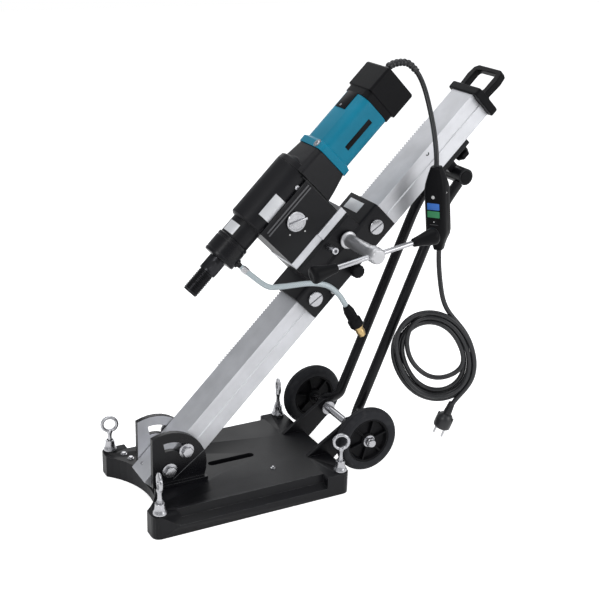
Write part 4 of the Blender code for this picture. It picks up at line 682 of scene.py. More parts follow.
cord_box = bar_along("cord_box_body", BOX_STATIONS, 5, BOX)
rounded(cord_box, 0.8)
hang(cord_box, "carriage", "black_plastic", nodes=("cord_box",))
print("cord box", len(cord_box.data.polygons), "faces")

# %% Buttons, lamp and small marks on the cord box
BOX_FACE = -20
for name, height, finish in (("blue_button", -76, blue), ("green_button", -92, green)):
    key = block(name + "_key", (-13, 13), (BOX_FACE - 2.2, BOX_FACE + 2), (height - 7, height + 7), 1.6)
    settle(key, BOX)
    body = "reset_button" if name == "blue_button" else "test_button"
    hang(key, body, name, finish, (name,))
frame_ring = block("button_frame", (-15, 15), (BOX_FACE - 0.8, BOX_FACE + 1), (-102, -66), 0.5)
settle(frame_ring, BOX)
hang(frame_ring, "carriage", "black_plastic", plastic)
lamp = turned("box_lamp", [
    (0, 0), (3.4, 0), (3.4, 0.7), (2.6, 1.4), (0, 1.6)],
    20, 0, BOX @ shift(0, BOX_FACE, -57) @ spin(90, "X"))
hang(lamp, "carriage", "zinc_plate", white_mark)
dot = turned("box_mark", [
    (0, 0), (1.3, 0), (1.3, 0.3), (0, 0.4)], 14, 0, BOX @ shift(0, BOX_FACE, -108) @ spin(90, "X"))
hang(dot, "carriage", "zinc_plate", white_mark)
seam = block("box_seam", (-22.3, 22.3), (-0.5, 0.5), (-130, -44), 0.2, BOX)
hang(seam, "carriage", "black_plastic", plastic)
line = block("box_line", (-9, 9), (BOX_FACE - 0.3, BOX_FACE + 0.2), (-114.4, -113.6), 0, BOX)
hang(line, "carriage", "black_plastic", highlight_and_line_grey)
side_dot = turned("box_side_dot", [
    (0, 0), (1.5, 0), (1.5, 0.2), (0, 0.3)], 14, 0, BOX @ shift(22, -4, -50) @ spin(90, "Y"))
hang(side_dot, "carriage", "zinc_plate", white_mark)

# %% [markdown]
# ## The mains lead, put away in a coil
# The lead leaves the box, drops onto the hanging coil and is wound clockwise, outermost turn first:
# three turns side by side behind, then a loose one, a whole one and the start of another in front. It
# leaves the coil at the lower right.
# Gravity draws the round coil into a slanting egg, so each turn follows the same sagging outline.

# %% The coil's line
COIL_MIDDLE = at(474.7, -109.5, 244)
COIL_LEVEL = Vector((math.cos(math.radians(-30)), math.sin(math.radians(-30)), 0))
COIL_DEPTH = Vector((COIL_LEVEL.y, -COIL_LEVEL.x, 0)) * -1
COIL_OUTSIDE = 97.5
STRAND = 10.2
COIL_STEP = 15
START_TURN, END_TURN = math.radians(43.6), math.radians(-35 - 1800)
LAYERS = [(0, 5.3), (1, 5.3), (2, 5.3), (2, -5.3), (1, -5.3), (0, -5.3)]
LOOSE = [(343, 67.5), (320, 56.6), (283, 49.3), (224, 40.6), (175, 51.9), (145, 71)]


def beside(across, up, depth=0.0):
    """A point in the coil's plane, in millimetres from its middle; depth is away from the camera."""
    return COIL_MIDDLE + COIL_LEVEL * across * MM + COIL_DEPTH * depth * MM + at(0, 0, up)


def ease(share):
    share = min(1, max(0, share))
    return share * share * (3 - 2 * share)


def coil_radius(turn, strand):
    sag = 1 - 0.078 * math.cos(2 * turn) - 0.088 * math.sin(2 * turn)
    return COIL_OUTSIDE * sag - 5 - STRAND * strand


def loose_radius(turn, plain):
    """The loose turn hangs inside the others over its lower left part."""
    place = math.degrees(turn) % 360
    if not 120 < place < 358:
        return plain
    table = [(358, plain), *LOOSE, (120, plain)]
    for (first, high), (second, low) in zip(table, table[1:]):
        if second <= place <= first:
            return min(plain, high + (low - high) * ease((first - place) / (first - second)))
    return plain


coil_points = []
steps = round(math.degrees(START_TURN - END_TURN) / COIL_STEP)
for number in range(steps + 1):
    turn = START_TURN + (END_TURN - START_TURN) * number / steps
    gone = math.degrees(START_TURN - turn)
    layer = min(5, int(gone // 360))
    strand, depth = LAYERS[layer]
    if layer < 5:
        share = ease((gone - 360 * layer - 215) / 75)
        strand += (LAYERS[layer + 1][0] - strand) * share
        depth += (LAYERS[layer + 1][1] - depth) * share
    radius = coil_radius(turn, strand)
    if layer == 3:
        radius = loose_radius(turn, radius)
    coil_points.append(beside(radius * math.cos(turn), radius * math.sin(turn), depth))
box_bottom = BOX @ at(0, 0, BOX_END)
PLUG_AXIS = (COIL_LEVEL * -0.317 - Vector((0, 0, 0.949))).normalized()
tail = beside(47.5, -99.5)
lead_in = [box_bottom, box_bottom + at(0, -2, -30), box_bottom + at(2, -7, -58), beside(5.4, 146),
           beside(10, 125, 1), beside(17, 105, 3), beside(30.5, 89.5, 5)]
mains_line = relaxed(smooth_line([*lead_in, *coil_points, tail + PLUG_AXIS * 3 * MM,
                          tail + PLUG_AXIS * 14 * MM], 6 * MM), 22)
mains_lead = tube_along("mains_lead_run", mains_line, CORD_RADIUS, 14)
hang(mains_lead, "carriage", "cord_rubber", nodes=("lower_cord", "cord_coil"))
print("mains lead", round(length_of(mains_line), 3), "m in", round(steps * COIL_STEP / 360, 2), "turns")

# %% [markdown]
# ## The mains plug
# A round rubber plug with two finger wings. Its neck is a tapered strain relief with rings, so the
# outline zigzags there before the lathe turns it. The two pins are turned once and copied.

# %% Plug
PLUG = Matrix.Translation(tail + PLUG_AXIS * 2 * MM) @ upright_to(PLUG_AXIS)
relief = [(5.2, 1), (6.6, 2)]
for ring in range(6):
    size = 7 + ring * 0.35
    relief += [(size, 4 + ring * 4), (size, 6 + ring * 4), (size - 1.3, 6.4 + ring * 4),
               (size - 1.3, 7.6 + ring * 4)]
plug_body = turned("mains_plug_body", [
    (0, 1), *relief, (11, 29), (13.4, 31), (17.4, 38), (18.4, 42), (18.4, 57), (17, 60.5), (15, 62),
    (0, 62)], 40, 0)
wings = [block("wing", sorted((side * 12.5, side * 18.3)), (-3.2, 3.2), (33, 60), 1.4)
         for side in (-1, 1)]
plug_body = joined("mains_plug_body", plug_body, *wings)
settle(plug_body, PLUG)
hang(plug_body, "carriage", "black_plastic", cord_rubber, ("mains_plug",))
plug_pin = turned("plug_pin_one", [(0, 58), (2.4, 58), (2.4, 79.6), (1.6, 81), (0, 81)], 20)
other_pin = twin(plug_pin, "plug_pin_two", shift(9.5, 0, 0))
settle(plug_pin, shift(-9.5, 0, 0))
for pin in (plug_pin, other_pin):
    hang(settle(pin, PLUG), "carriage", "bright_steel", steel)
print("plug and pins")

# %% [markdown]
# ## The water hose
# A stiff pale hose feeds water to the swivel under the motor. A band holds it on the barb, and its free
# end carries a quick coupling with a bright collar.

# %% Hose, clamp band and coupling
HOSE_RADIUS = 5.5 * MM
out = math.radians(-32)
reach = 42.5
hose_route = [on_column(436, DRILL_FORWARD - reach * math.cos(out), reach * math.sin(out)),
              on_column(436, DRILL_FORWARD - (reach + 20) * math.cos(out),
                        (reach + 20) * math.sin(out)),
              on_column(440, 118, -52), on_column(457, 98, -59), on_column(478, 78, -63),
              on_column(501, 54, -66), on_column(519, 24, -70), on_column(521, -8, -74),
              on_column(514, -38, -77)]
hose_line = smooth_line(hose_route, 6 * MM)
water_hose = tube_along("water_hose_run", hose_line, HOSE_RADIUS, 20)
hang(water_hose, "carriage", "hose_plastic", nodes=("water_hose",))
hose_end = (hose_line[-1] - hose_line[-4]).normalized()
hose_start = (hose_line[1] - hose_line[0]).normalized()
END = Matrix.Translation(hose_line[-1]) @ upright_to(hose_end)
BARB = Matrix.Translation(hose_line[0]) @ upright_to(hose_start)
coupling = turned("hose_coupling_body", [
    (0, -3), (6.4, -3), (8, 0), (8, 1), (9.5, 6), (11, 12), (11, 14), (10.2, 15), (11, 16), (11, 18),
    (10.2, 19), (11, 20), (11, 22), (10.2, 23), (11, 24), (11, 30), (14, 33.5), (14, 47),
    (12.5, 49.5), (0, 49.5)], 36, 0.4, END)
collar = turned("hose_coupling_collar", [
    (0, 49), (10.6, 49), (10.6, 54), (8.6, 55), (8.6, 60), (9, 61), (9, 66), (8, 67), (8, 70),
    (7, 73.5), (4.6, 74), (4.6, 66), (0, 66)], 36, 0.3, END)
bands = [turned("band", [
    (5.6, low), (7.0, low), (7.0, low + 6), (5.6, low + 6), (5.6, low)], 28, 0.3, BARB)
         for low in (4, 10)]
hose_band = joined("hose_band", *bands)
hang(coupling, "carriage", "black_plastic", nodes=("hose_coupling",))
hang(collar, "carriage", "bright_steel", brass)
hang(hose_band, "carriage", "zinc_plate", steel)
print("hose", round(length_of(hose_line), 3), "m")

length_of(upper_line)
length_of(mains_line)
length_of(hose_line)

# %% [markdown]
# ## The base casting
# The base is one heavy casting. Its engineering shape is already right, so a clean copy keeps its faces
# and edges as they are, and only its shallow bends are shaded smooth. Three screws stand in its deck.

# %% Base plate
base = reskin("base_plate", 0, whole=False)
pick(base)
bpy.ops.object.shade_smooth_by_angle(angle=math.radians(17))
BASE_TOP = 45
for number, place in enumerate(((-120, 112), (-113.5, 89), (130, -69.5))):
    size = 5.2 if number < 2 else 2.8
    head = turned("base_screw_%d" % number, [
        (0, -1), (size + 2, -1), (size + 2, 1), (size, 1), (size, 3.6), (size - 0.8, 4.2), (0, 4.2)],
        6 if number < 2 else 20, 0.2, shift(*place, BASE_TOP))
    hang(head, "base", "zinc_plate")
print("base", len(base.data.polygons), "faces")

# %% [markdown]
# ## The foot brackets
# Two plates hold the column's foot. They are painted outside, and faces that look inwards get the
# metal finish.

# %% Brackets
for node, inward in (("near_cheek", 1), ("far_cheek", -1)):
    cheek = reskin(node, 0.7)
    cheek.data.materials.append(aluminium)
    for face in cheek.data.polygons:
        if face.normal.y * inward > 0.98 and abs(face.center.y) < 38 * MM:
            face.material_index = 1
# A thin rib on the near bracket in the paler grey: a painted highlight along its edge.
rib = block("near_cheek_rib", (-0.7, 0.7), (-47.3, -46.4), (-42, 42), 0.2,
            COLUMN @ shift(14.4, 0, 80.6) @ spin(7.6, "Y"))
hang(rib, "base", "black_paint", highlight_and_line_grey)
print("two brackets")

# %% [markdown]
# ## Levelling screws
# Each corner has an eye screw that lifts the base off the ground. The shank is turned with a thread of
# small ridges, the eye is a torus on a forged neck, and one screw is copied to all four corners with
# its own turn of the eye.

# %% One levelling screw and its collar
THREAD_RIDGES = 11
thread = []
for ridge in range(THREAD_RIDGES):
    height = 50 + ridge * 2.2
    thread += [(5.0, height), (5.9, height + 0.7), (5.9, height + 1.3), (5.0, height + 2.0)]
shank = turned("shank", [
    (0, 12), (4, 12), (6, 15), (6, 49), *thread, (5.0, 75), (4.3, 78), (4.0, 85), (4.6, 89),
    (5.6, 92), (6.2, 94.6), (5.6, 97.5), (3.6, 99), (0, 99)], 24)
EYE_MIDDLE = 111
EYE_OUTSIDE = 18.5
clear_selection()
bpy.ops.mesh.primitive_torus_add(major_radius=14.9 * MM, minor_radius=3.6 * MM, major_segments=56,
                                 minor_segments=18, location=at(0, 0, EYE_MIDDLE),
                                 rotation=(math.pi / 2, 0, 0))
eye = settle(take("eye"))
eye_screw = joined("levelling_screw_master", shank, eye)
collar_master = turned("collar_master", [
    (12.4, 48.6), (13.6, 48.6), (13.6, 51), (11.6, 54), (10.2, 58), (9.4, 64), (9.3, 69.4),
    (8.6, 70.2), (6.3, 70.2), (6.3, 66)], 32, 0.0)
print("eye screw", len(eye_screw.data.polygons), "faces")

# %% Copy it to the corners
for corner, angle in (("near_front", 80), ("far_front", -12), ("near_back", -20), ("far_back", 75)):
    node = corner + "_levelling_screw"
    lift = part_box(node)[1][2] / MM - EYE_OUTSIDE - EYE_MIDDLE
    x = {"front": -140, "back": 246}[corner.split("_")[1]] * MM
    y = {"near": -138, "far": 138}[corner.split("_")[0]] * MM
    spot = Matrix.Translation((x, y, 0))
    screw = twin(eye_screw, corner + "_eye_screw", shift(0, 0, lift) @ spot
                 @ spin(angle, "Z"))
    hang(screw, corner + "_screw", "zinc_plate", nodes=(node,))
    hang(twin(collar_master, corner + "_collar", spot), "base", "zinc_plate")
bpy.data.objects.remove(eye_screw)
bpy.data.objects.remove(collar_master)
print("four levelling screws")

# %% [markdown]
# ## Wheels
# The tyre is a ring with round shoulders and two shallow tread grooves. The rim is dished and braced
# with six ribs: one rib is shaped, then turned about the hub in equal steps.

# %% Near wheel
AXLE_X, AXLE_Z = 318, 92
NEAR_AXLE = shift(AXLE_X, 0, AXLE_Z) @ spin(90, "X")
tyre = turned("near_tyre", [
    (47.2, 103.5), (50, 102.4), (57, 101.3), (58.4, 101.9), (59.2, 101.6), (62.5, 103), (65.4, 106),
    (67.1, 109.2), (66.2, 110.2), (66.4, 111), (67.8, 111.8), (68, 115), (67.8, 118.2), (66.4, 119),
    (66.2, 119.8), (67.1, 120.8), (65.4, 124), (62.5, 127), (59.2, 128.4), (58.4, 128.1),
    (57, 128.7), (50, 127.6), (47.2, 126.5), (47.2, 103.5)], 72)
rim = turned("near_rim", [
    (8.2, 99.2), (14, 99.2), (15.6, 100.6), (16.6, 111), (40, 112.5), (42.6, 106), (43.4, 104.2),
    (46.8, 104.2), (46.8, 125.8), (43.4, 125.8), (42.6, 124), (40.4, 117.5), (16.6, 119),
    (15.6, 124.6), (14, 126), (8.2, 126), (8.2, 99.2)], 56, 0.5)
rib_pieces = []
for number in range(6):
    turn = spin(60 * number + 15, "Z")
    for low_side, high_side in ((105.5, 112.5), (117.5, 124.6)):
        rib_pieces.append(block("rib", (15, 43), (-1.8, 1.8), (low_side, high_side), 0.5, turn))
rim = joined("near_rim", rim, *rib_pieces)
nut = turned("near_nut", [(8.3, 126.2), (12.6, 126.2), (12.6, 128.4), (8.3, 128.4)], 32, 0.3)
hexagon = turned("hexagon", [(8.3, 128.4), (11, 128.4), (11, 134.5), (9.6, 137), (8.3, 137.4)], 6, 0.6)
nut = joined("near_nut", nut, hexagon)
print("wheel parts", len(tyre.data.polygons), len(rim.data.polygons))

# %% Place both wheels and the axle
TO_FAR = (shift(AXLE_X, 0, AXLE_Z) @ spin(180, "Z")
          @ shift(-AXLE_X, 0, -AXLE_Z))
for part, body, slot, node in ((tyre, "wheel", "tyre_rubber", "wheel_tyre"),
                               (rim, "wheel", "black_plastic", "wheel_rim"),
                               (nut, "base", "zinc_plate", "wheel_nut")):
    settle(part, NEAR_AXLE)
    other = twin(part, part.name.replace("near", "far"), TO_FAR)
    for side, piece in (("near_", part), ("far_", other)):
        hang(piece, side + body if body == "wheel" else body, slot, nodes=(side + node,))
rod = turned("axle_rod", [(0, -142), (7, -142), (8, -140.8), (8, 140.8), (7, 142), (0, 142)], 32)
lock_nuts = [turned("lock_nut", [(8.1, low), (12.2, low), (12.2, low + 8), (8.1, low + 8)], 6, 0.5)
             for low in (-48.8, 40.8)]
washers = [turned("axle_washer", [(8.1, low), (15, low), (15, low + 1.6), (8.1, low + 1.6)], 32, 0.3)
           for low in (-40.6, 39.0)]
axle = joined("wheel_axle_rod", rod, *lock_nuts, *washers)
hang(settle(axle, NEAR_AXLE), "base", "zinc_plate", nodes=("wheel_axle",))
print("two wheels on one axle")

# %% [markdown]
# ## Bracket bolts
# One bolt is the pivot, and the other clamps the tilt and slides in the arc slot. Each has a washer and
# a hexagon head with a rounded crown, so six-sided and round pieces are turned and joined.

# %% Pivot bolt and clamp bolt


def foot_bolt(name):
    parts = [
        turned(name, [(0, -60), (7, -60), (8, -59), (8, 47), (0, 47)], 28),
        turned("washer", [(0, 47.1), (15.2, 47.1), (15.2, 49.8), (0, 49.8)], 36, 0.4),
        turned("head", [(0, 49.8), (11.8, 49.8), (11.8, 57.2), (10.4, 58.6), (0, 58.6)], 6, 0.4),
        turned("far_washer", [(0, -49.8), (15.2, -49.8), (15.2, -47.1), (0, -47.1)], 36, 0.4),
        turned("far_nut", [
            (0, -59.4), (11.4, -59.4), (12.8, -57.8), (12.8, -49.8), (0, -49.8)], 6, 0.4),
    ]
    return joined(name, *parts)


pivot_bolt = settle(foot_bolt("pivot_bolt_hex"), Matrix.Translation(pivot) @ LATHE_TO_NEAR)
hang(pivot_bolt, "base", "zinc_plate", nodes=("pivot_bolt",))
clamp_bolt = settle(foot_bolt("clamp_bolt_hex"),
                    Matrix.Translation(pivot + along * 50 * MM) @ LATHE_TO_NEAR)
hang(clamp_bolt, "column_body", "zinc_plate", nodes=("clamp_bolt",))
print("two bolts")

# %% [markdown]
# ## Column, rack and top handle
# The column is a drawn aluminium beam with a groove in each side. The copy keeps that profile and its
# edges get a hair of a round, so that they catch the light in one thin line.

# %% Column and rack
column = reskin("column", 0.5)
reskin("feed_rack", 0.15, 1)
reskin("top_handle", 2.6, 4)
set_screw = turned("column_set_screw", [
    (0, -1), (4.2, -1), (4.2, 0.4), (2.2, 0.4), (2.2, -0.6), (0, -0.6)],
    20, 0, COLUMN @ shift(-19, -31.6, 852) @ LATHE_TO_NEAR)
hang(set_screw, "column_body", "black_plastic")
foot_screw = turned("column_foot_screw", [
    (0, -1), (4.6, -1), (4.6, 0.6), (3.8, 1.2), (2, 1.2), (2, -0.4), (0, -0.4)],
    20, 0, COLUMN @ shift(-30, 15, 20) @ spin(-90, "Y"))
hang(foot_screw, "column_body", "zinc_plate")
print("column", len(column.data.polygons), "faces")

# %% [markdown]
# ## Back stays
# Each stay is a steel tube, flattened and drilled at its lower end. A tube is drawn along its bent line
# and its last rings are pressed thin against the axle lug, as a press would do it.

# %% Stay tubes
STAY_SIDES = 20
TUBE_TOP = on_column(876, -78, 0) / MM
stay_low = at(26, 0, 32)
bend = Vector((TUBE_TOP.x - 50.4, 0, TUBE_TOP.z - 65.1)) * MM
stop = TUBE_TOP * MM - (TUBE_TOP * MM - bend).normalized() * 17.3 * MM
axle_middle = at(AXLE_X, 0, AXLE_Z)
for side_name, side in (("near", -1), ("far", 1)):
    across = Vector((0, side * 40 * MM, 0))
    eye = axle_middle + Vector((0, side * 61.5 * MM, 0))
    knee = axle_middle + stay_low + across
    leg = (bend + across - knee).normalized()
    out_leg = (stop - bend).normalized()
    line = [eye - leg * 2 * MM, eye + leg * 14 * MM, eye.lerp(knee, 0.62), knee, knee + leg * 14 * MM,
            knee + leg * 30 * MM]
    curve = []
    start_bend, end_bend = bend + across - leg * 40 * MM, bend + across + out_leg * 40 * MM
    for step in range(7):
        share = step / 6
        curve.append(start_bend.lerp(bend + across, share).lerp((bend + across).lerp(end_bend, share),
                                                                share))
    line = smooth_line(line, 4 * MM) + [knee.lerp(start_bend, 0.5), *curve, stop + across]
    stay = tube_along(side_name + "_stay_tube", line, 10.6 * MM, STAY_SIDES)
    flat_way = leg.cross(Vector((0, 1, 0))).normalized()
    for number in range(len(stay.data.vertices)):
        ring = min(number // STAY_SIDES, len(line) - 1)
        middle = line[ring]
        gone = (middle - eye).dot(leg) / MM
        press = 1 - ease((gone - 22) / 30)
        offset = stay.data.vertices[number].co - middle
        wide = offset.dot(flat_way)
        thick = offset.y
        run = offset - flat_way * wide - Vector((0, thick, 0))
        stay.data.vertices[number].co = (middle + run + flat_way * wide * (1 + 0.35 * press)
                                         + Vector((0, thick * (1 - 0.62 * press), 0)))
    ring_eye = turned("stay_eye", [
        (8.3, -4.3), (17, -4.3), (17, 4.3), (8.3, 4.3), (8.3, -4.3)],
        36, 0.6, Matrix.Translation(eye + Vector((0, -side * 0.6 * MM, 0))) @ LATHE_TO_NEAR)
    stay = joined(side_name + "_stay_tube", stay, ring_eye)
    hang(stay, "stays", "black_paint", nodes=(side_name + "_back_stay",))
print("two stays")

# %% Cross tube, clamp block and star knob
def lobed(piece, count, depth, beyond):
    """Cuts shallow waves round a knob, past a radius in millimetres."""
    for vertex in piece.data.vertices:
        if math.hypot(vertex.co.x, vertex.co.y) > beyond * MM:
            wave = math.cos(count * math.atan2(vertex.co.y, vertex.co.x))
            lobe = 1 - depth * (0.5 - 0.5 * wave)
            vertex.co.x *= lobe
            vertex.co.y *= lobe


TUBE = Matrix.Translation(TUBE_TOP * MM) @ LATHE_TO_NEAR
cross = turned("cross_tube_bar", [
    (0, -49.5), (12.8, -49.5), (14.4, -51), (16.2, -51), (17, -50.2), (17, 50.2), (16.2, 51),
    (14.4, 51), (12.8, 49.5), (0, 49.5)], 40, 0.0, TUBE)
hang(cross, "stays", "black_paint", nodes=("stay_cross_tube",))
plug_caps = [turned("cap", outline, 32, 0.0, TUBE) for outline in (
    [(0, 49.6), (12.4, 49.6), (12.4, 50.4), (9, 50.9), (0, 51)],
    [(0, -51), (9, -50.9), (12.4, -50.4), (12.4, -49.6), (0, -49.6)])]
hang(joined("cross_tube_caps", *plug_caps), "stays", "black_plastic")
reskin("stay_clamp", 0.8)
knob = turned("star_knob", [
    (0, 0), (7, 0), (7, 8), (12, 9), (15.2, 11), (16, 13), (16, 18), (14.6, 21.6), (11, 23.6),
    (0, 24)], 60)
lobed(knob, 6, 0.13, 10)
settle(knob, COLUMN @ shift(52.6, 0, 917) @ spin(90, "Y"))
hang(knob, "slider_knob", "black_plastic", nodes=("clamp_knob",))
print("cross tube and clamp")

# %% [markdown]
# ## The carriage
# The carriage straddles the column on nylon pads that two slotted pins press home. Its casting, the
# machined mount plate and the pins are separate pieces with their own finishes.

# %% Carriage casting and mount plate
carriage = reskin("carriage_housing", 0.9)
reskin("mount_plate", 0.6)


def near_side(x, z, y=0.0):
    """A lathe place on the column's near side: heights run towards the near side from y."""
    return COLUMN @ shift(x, y, z) @ LATHE_TO_NEAR


def carved(piece, cutter):
    """Cuts one shape out of another."""
    finished_with(piece, "BOOLEAN", operation="DIFFERENCE", solver="EXACT", object=cutter)
    bpy.data.objects.remove(cutter)
    return piece


for name, height in (("lower", 485.5), ("upper", 672)):
    pin = turned(name + "_slotted_pin", [
        (0, 37.3), (7, 37.3), (7, 50.3), (15.5, 50.3), (15.5, 54.2), (14.4, 55.3), (0, 55.3)],
        40, 0.2)
    pin = carved(pin, block("slot", (-1.4, 1.4), (-17, 17), (53.2, 58), 0,
                            spin(-12, "Z")))
    settle(pin, near_side(-13, height))
    hang(pin, "carriage", "zinc_plate", nodes=(name + "_guide_pin",))
label_plate = block("carriage_label", (-45.6, -44.8), (-14, 36.5), (669.5, 693.5), 0.25, COLUMN)
hang(label_plate, "carriage", "satin_aluminium", label)
for number, (x, z) in enumerate(((-31, 553), (8, 520))):
    cap_screw = turned("socket_screw_%d" % (number + 1), [
        (0, 0), (4.6, 0), (4.6, 3), (4, 3.8), (2.3, 3.8), (2.3, 1), (0, 1)],
        24, 0, near_side(x, z, -50.0))
    hang(cap_screw, "carriage", "zinc_plate", steel)
print("carriage", len(carriage.data.polygons), "faces")

# %% [markdown]
# ## Feed crank, lock knob and mounting pin
# The crank's hub is turned steel with a rounded end, where the cross rod passes through. Its two grips
# are cones with soft rims. The lock knob is fluted, and the mounting pin has a hexagon socket.

# %% Crank
CRANK = near_side(-43.5, 614)
hub = turned("crank_hub_barrel", [
    (0, 50.4), (17.6, 50.4), (17.6, 53), (16, 54.2), (13.1, 55), (13.1, 132), (13.5, 134),
    (15.6, 140), (16.4, 148), (16.4, 156), (15.6, 161.4), (13, 165), (8.4, 166), (0, 166)],
    48, 0.0, CRANK)
hang(hub, "crank", "bright_steel")
ROD = COLUMN @ shift(-43.5, -152, 614) @ spin(35.6, "Y")
bar = turned("crank_rod_bar", [(0, -106), (5, -106), (5, 106), (0, 106)], 28, 0.4, ROD)
hang(bar, "crank", "zinc_plate", nodes=("crank_rod",))
GRIP = [(0, 84), (7.4, 84), (8.4, 85.2), (8.8, 88), (10.4, 98), (13.2, 111), (15.6, 122), (16.8, 128),
        (17, 131), (16.4, 134), (14.6, 136.4), (12, 137.7), (8, 138.1), (6.5, 137.2), (0, 137)]
for name, flip in (("upper", 0), ("lower", 180)):
    grip = turned(name + "_grip_cone", GRIP, 44, 0.0, ROD @ spin(flip, "X"))
    hang(grip, "crank", "black_plastic", nodes=(name + "_crank_grip",))
print("crank")

# %% Lock knob and mounting pin
lock = turned("lock_knob_fluted", [
    (0, 37.4), (4, 37.4), (4, 50.4), (6, 50.4), (6, 57), (12.6, 58.4), (14, 60), (14, 70),
    (13, 72.6), (10.6, 74.2), (0, 74.3)], 72)
lobed(lock, 12, 0.07, 12)
hang(settle(lock, near_side(10.5, 581)), "feed_lock", "black_plastic", nodes=("lock_knob",))
mount_pin = turned("mount_pin_socket", [
    (0, 27.4), (5, 27.4), (5, 45.3), (7, 45.3), (7, 75.2), (6.2, 76.2), (0, 76.2)], 32)
mount_pin = carved(mount_pin, turned("socket", [(0, 71), (4, 71), (4, 80), (0, 80)], 6))
hang(settle(mount_pin, near_side(-66, 577)), "mounting_pin", "zinc_plate", nodes=("mount_pin",))
print("knob and pin")

# %% [markdown]
# ## Gearbox, swivel and spindle
# The gearbox is cast in one with its round barrel. Two ribs run where barrel and box meet, in a paler
# grey that is a painted highlight. Below it turn the water swivel and the blackened spindle, whose
# thread is turned ridge by ridge.

# %% Gearbox and adapter
gearbox = reskin("gearbox_housing", 1.0)
reskin("motor_adapter", 1.2)
# The two ribs take the paler grey: a painted highlight along the black casting.
for number, (x, z0, z1) in enumerate(((-183, 512, 634), (-190, 514, 634))):
    rib = block("gearbox_rib_%d" % number, (x - 1.5, x + 1.5), (-46.6, -38), (z0, z1), 0.8, COLUMN)
    hang(rib, "carriage", "black_casting", highlight_and_line_grey)
joint_ring = block("gearbox_joint", (-211, -104), (-45.25, 45.25), (636.2, 638.2), 0.3, COLUMN)
hang(joint_ring, "carriage", "black_casting")
side_screw = turned("gearbox_side_screw", [
    (0, -2), (5, -2), (5, 1.2), (4.2, 2), (2.4, 2), (2.4, 0.4), (0, 0.4)],
    24, 0, near_side(-202, 616, -40))
hang(side_screw, "carriage", "zinc_plate")
print("gearbox", len(gearbox.data.polygons), "faces")

# %% Bare label places on the barrel and the neck


def wrapped_label(name, radius, angle, half_turn, low_z, high_z):
    """A thin plate bent round a barrel: a plane, subdivided, bent by its own width, and thickened."""
    clear_selection()
    bpy.ops.mesh.primitive_plane_add(size=1)
    plate = take(name)
    edit_all()
    bpy.ops.mesh.subdivide(number_cuts=11)
    close_edit()
    for vertex in plate.data.vertices:
        turn = math.radians(angle + 2 * half_turn * vertex.co.x)
        height = low_z + (high_z - low_z) * (vertex.co.y + 0.5)
        vertex.co = at(radius * math.cos(turn), radius * math.sin(turn), height)
    finished_with(plate, "SOLIDIFY", thickness=0.5 * MM, offset=1)
    pick(plate)
    edit_all()
    face_outwards()
    settle(plate, COLUMN @ shift(-DRILL_FORWARD, 0, 0))
    return hang(plate, "carriage", "satin_aluminium", label)


wrapped_label("barrel_label", 40.1, -94, 22, 530, 580)
wrapped_label("neck_label", 31.1, -163, 26, 469, 492)
print("label places left bare")

# %% Swivel and spindle
SPINDLE = COLUMN @ shift(-DRILL_FORWARD, 0, 0)
swivel = turned("water_swivel_ring", [
    (14.3, 419.2), (31, 419.2), (32.6, 420), (33.5, 422), (33.5, 426), (32.8, 426.6), (32.8, 428),
    (33.5, 428.6), (33.5, 455), (32.6, 456), (32.6, 457.4), (33.5, 458.4), (33.5, 463.4),
    (32.4, 464.6), (14.3, 464.6), (14.3, 419.2)], 56)
nipple = turned("nipple", [
    (0, 27), (9, 27), (9, 34.5), (7.8, 36.4), (6.2, 36.4), (5.6, 37.4), (4.6, 42.4), (0, 42.4)],
    24, 0, shift(0, 0, 436) @ spin(-32, "Z") @ spin(90, "Y"))
swivel = joined("water_swivel_ring", swivel, nipple)
hang(settle(swivel, SPINDLE), "carriage", "black_paint", nodes=("water_swivel",))
dark_steel = metal("dark_spindle_finish", (0.035, 0.035, 0.038), 0.3, (1, 1, 1), (0, 0, 0), 420,
                   0.14, 0.2)
SPINDLE_RIDGES = 11
threads = []
for ridge in range(SPINDLE_RIDGES):
    height = 338.5 + ridge * 4.1
    threads += [(14.3, height), (15.8, height + 1.3), (15.8, height + 2.1), (14.3, height + 3.4)]
spindle = turned("spindle_nose", [
    (7.1, 366), (7.1, 337), (9, 335.6), (13.4, 335.6), (14.3, 336.6), *threads, (14.2, 385),
    (17.3, 386.4), (17.5, 387.4), (17.5, 391.2), (17.5, 418), (14, 418), (14, 618), (0, 618),
    (0, 366)], 44)
flats = turned("flats", [(0, 391), (20, 391), (20, 410), (0, 410)], 6, 0.7)
spindle = joined("spindle_nose", spindle, flats)
hang(settle(spindle, SPINDLE), "output_shaft", "bright_steel", dark_steel, ("spindle",))
print("spindle thread of", SPINDLE_RIDGES, "ridges")

# %% [markdown]
# ## Speed dial
# The gear selector is a zinc disc with a bar across it that points at two white dots on the housing.

# %% Dial and its dots
dial = turned("gear_dial_disc", [
    (0, 45.4), (19.4, 45.4), (20, 46), (20, 50), (19, 51.2), (16, 51.2), (15.4, 50.7), (0, 50.7)], 64)
pointer = block("pointer", (-2.8, 2.8), (-18.8, 24.6), (50, 55.2), 0.9,
                spin(-29, "Z"), 0.86)
dial = joined("gear_dial_disc", dial, pointer)
hang(settle(dial, near_side(-160, 568)), "gear_selector", "zinc_plate", nodes=("gear_dial",))
for number, (x, z) in enumerate(((-149.5, 541.8), (-129.6, 567.4))):
    mark = turned("dial_dot_%d" % number, [
        (0, -0.3), (1.5, -0.3), (1.5, 0.25), (0, 0.35)], 16, 0, near_side(x, z, -45))
    hang(mark, "carriage", "black_casting", white_mark)
print("dial")

# %% [markdown]
# ## Motor shell and rear cap
# The shell is a moulded tube with soft corners and a wider flange at its lower end. A bare dark strip
# marks the badge place, and a black tab from the rear cap reaches down over it.

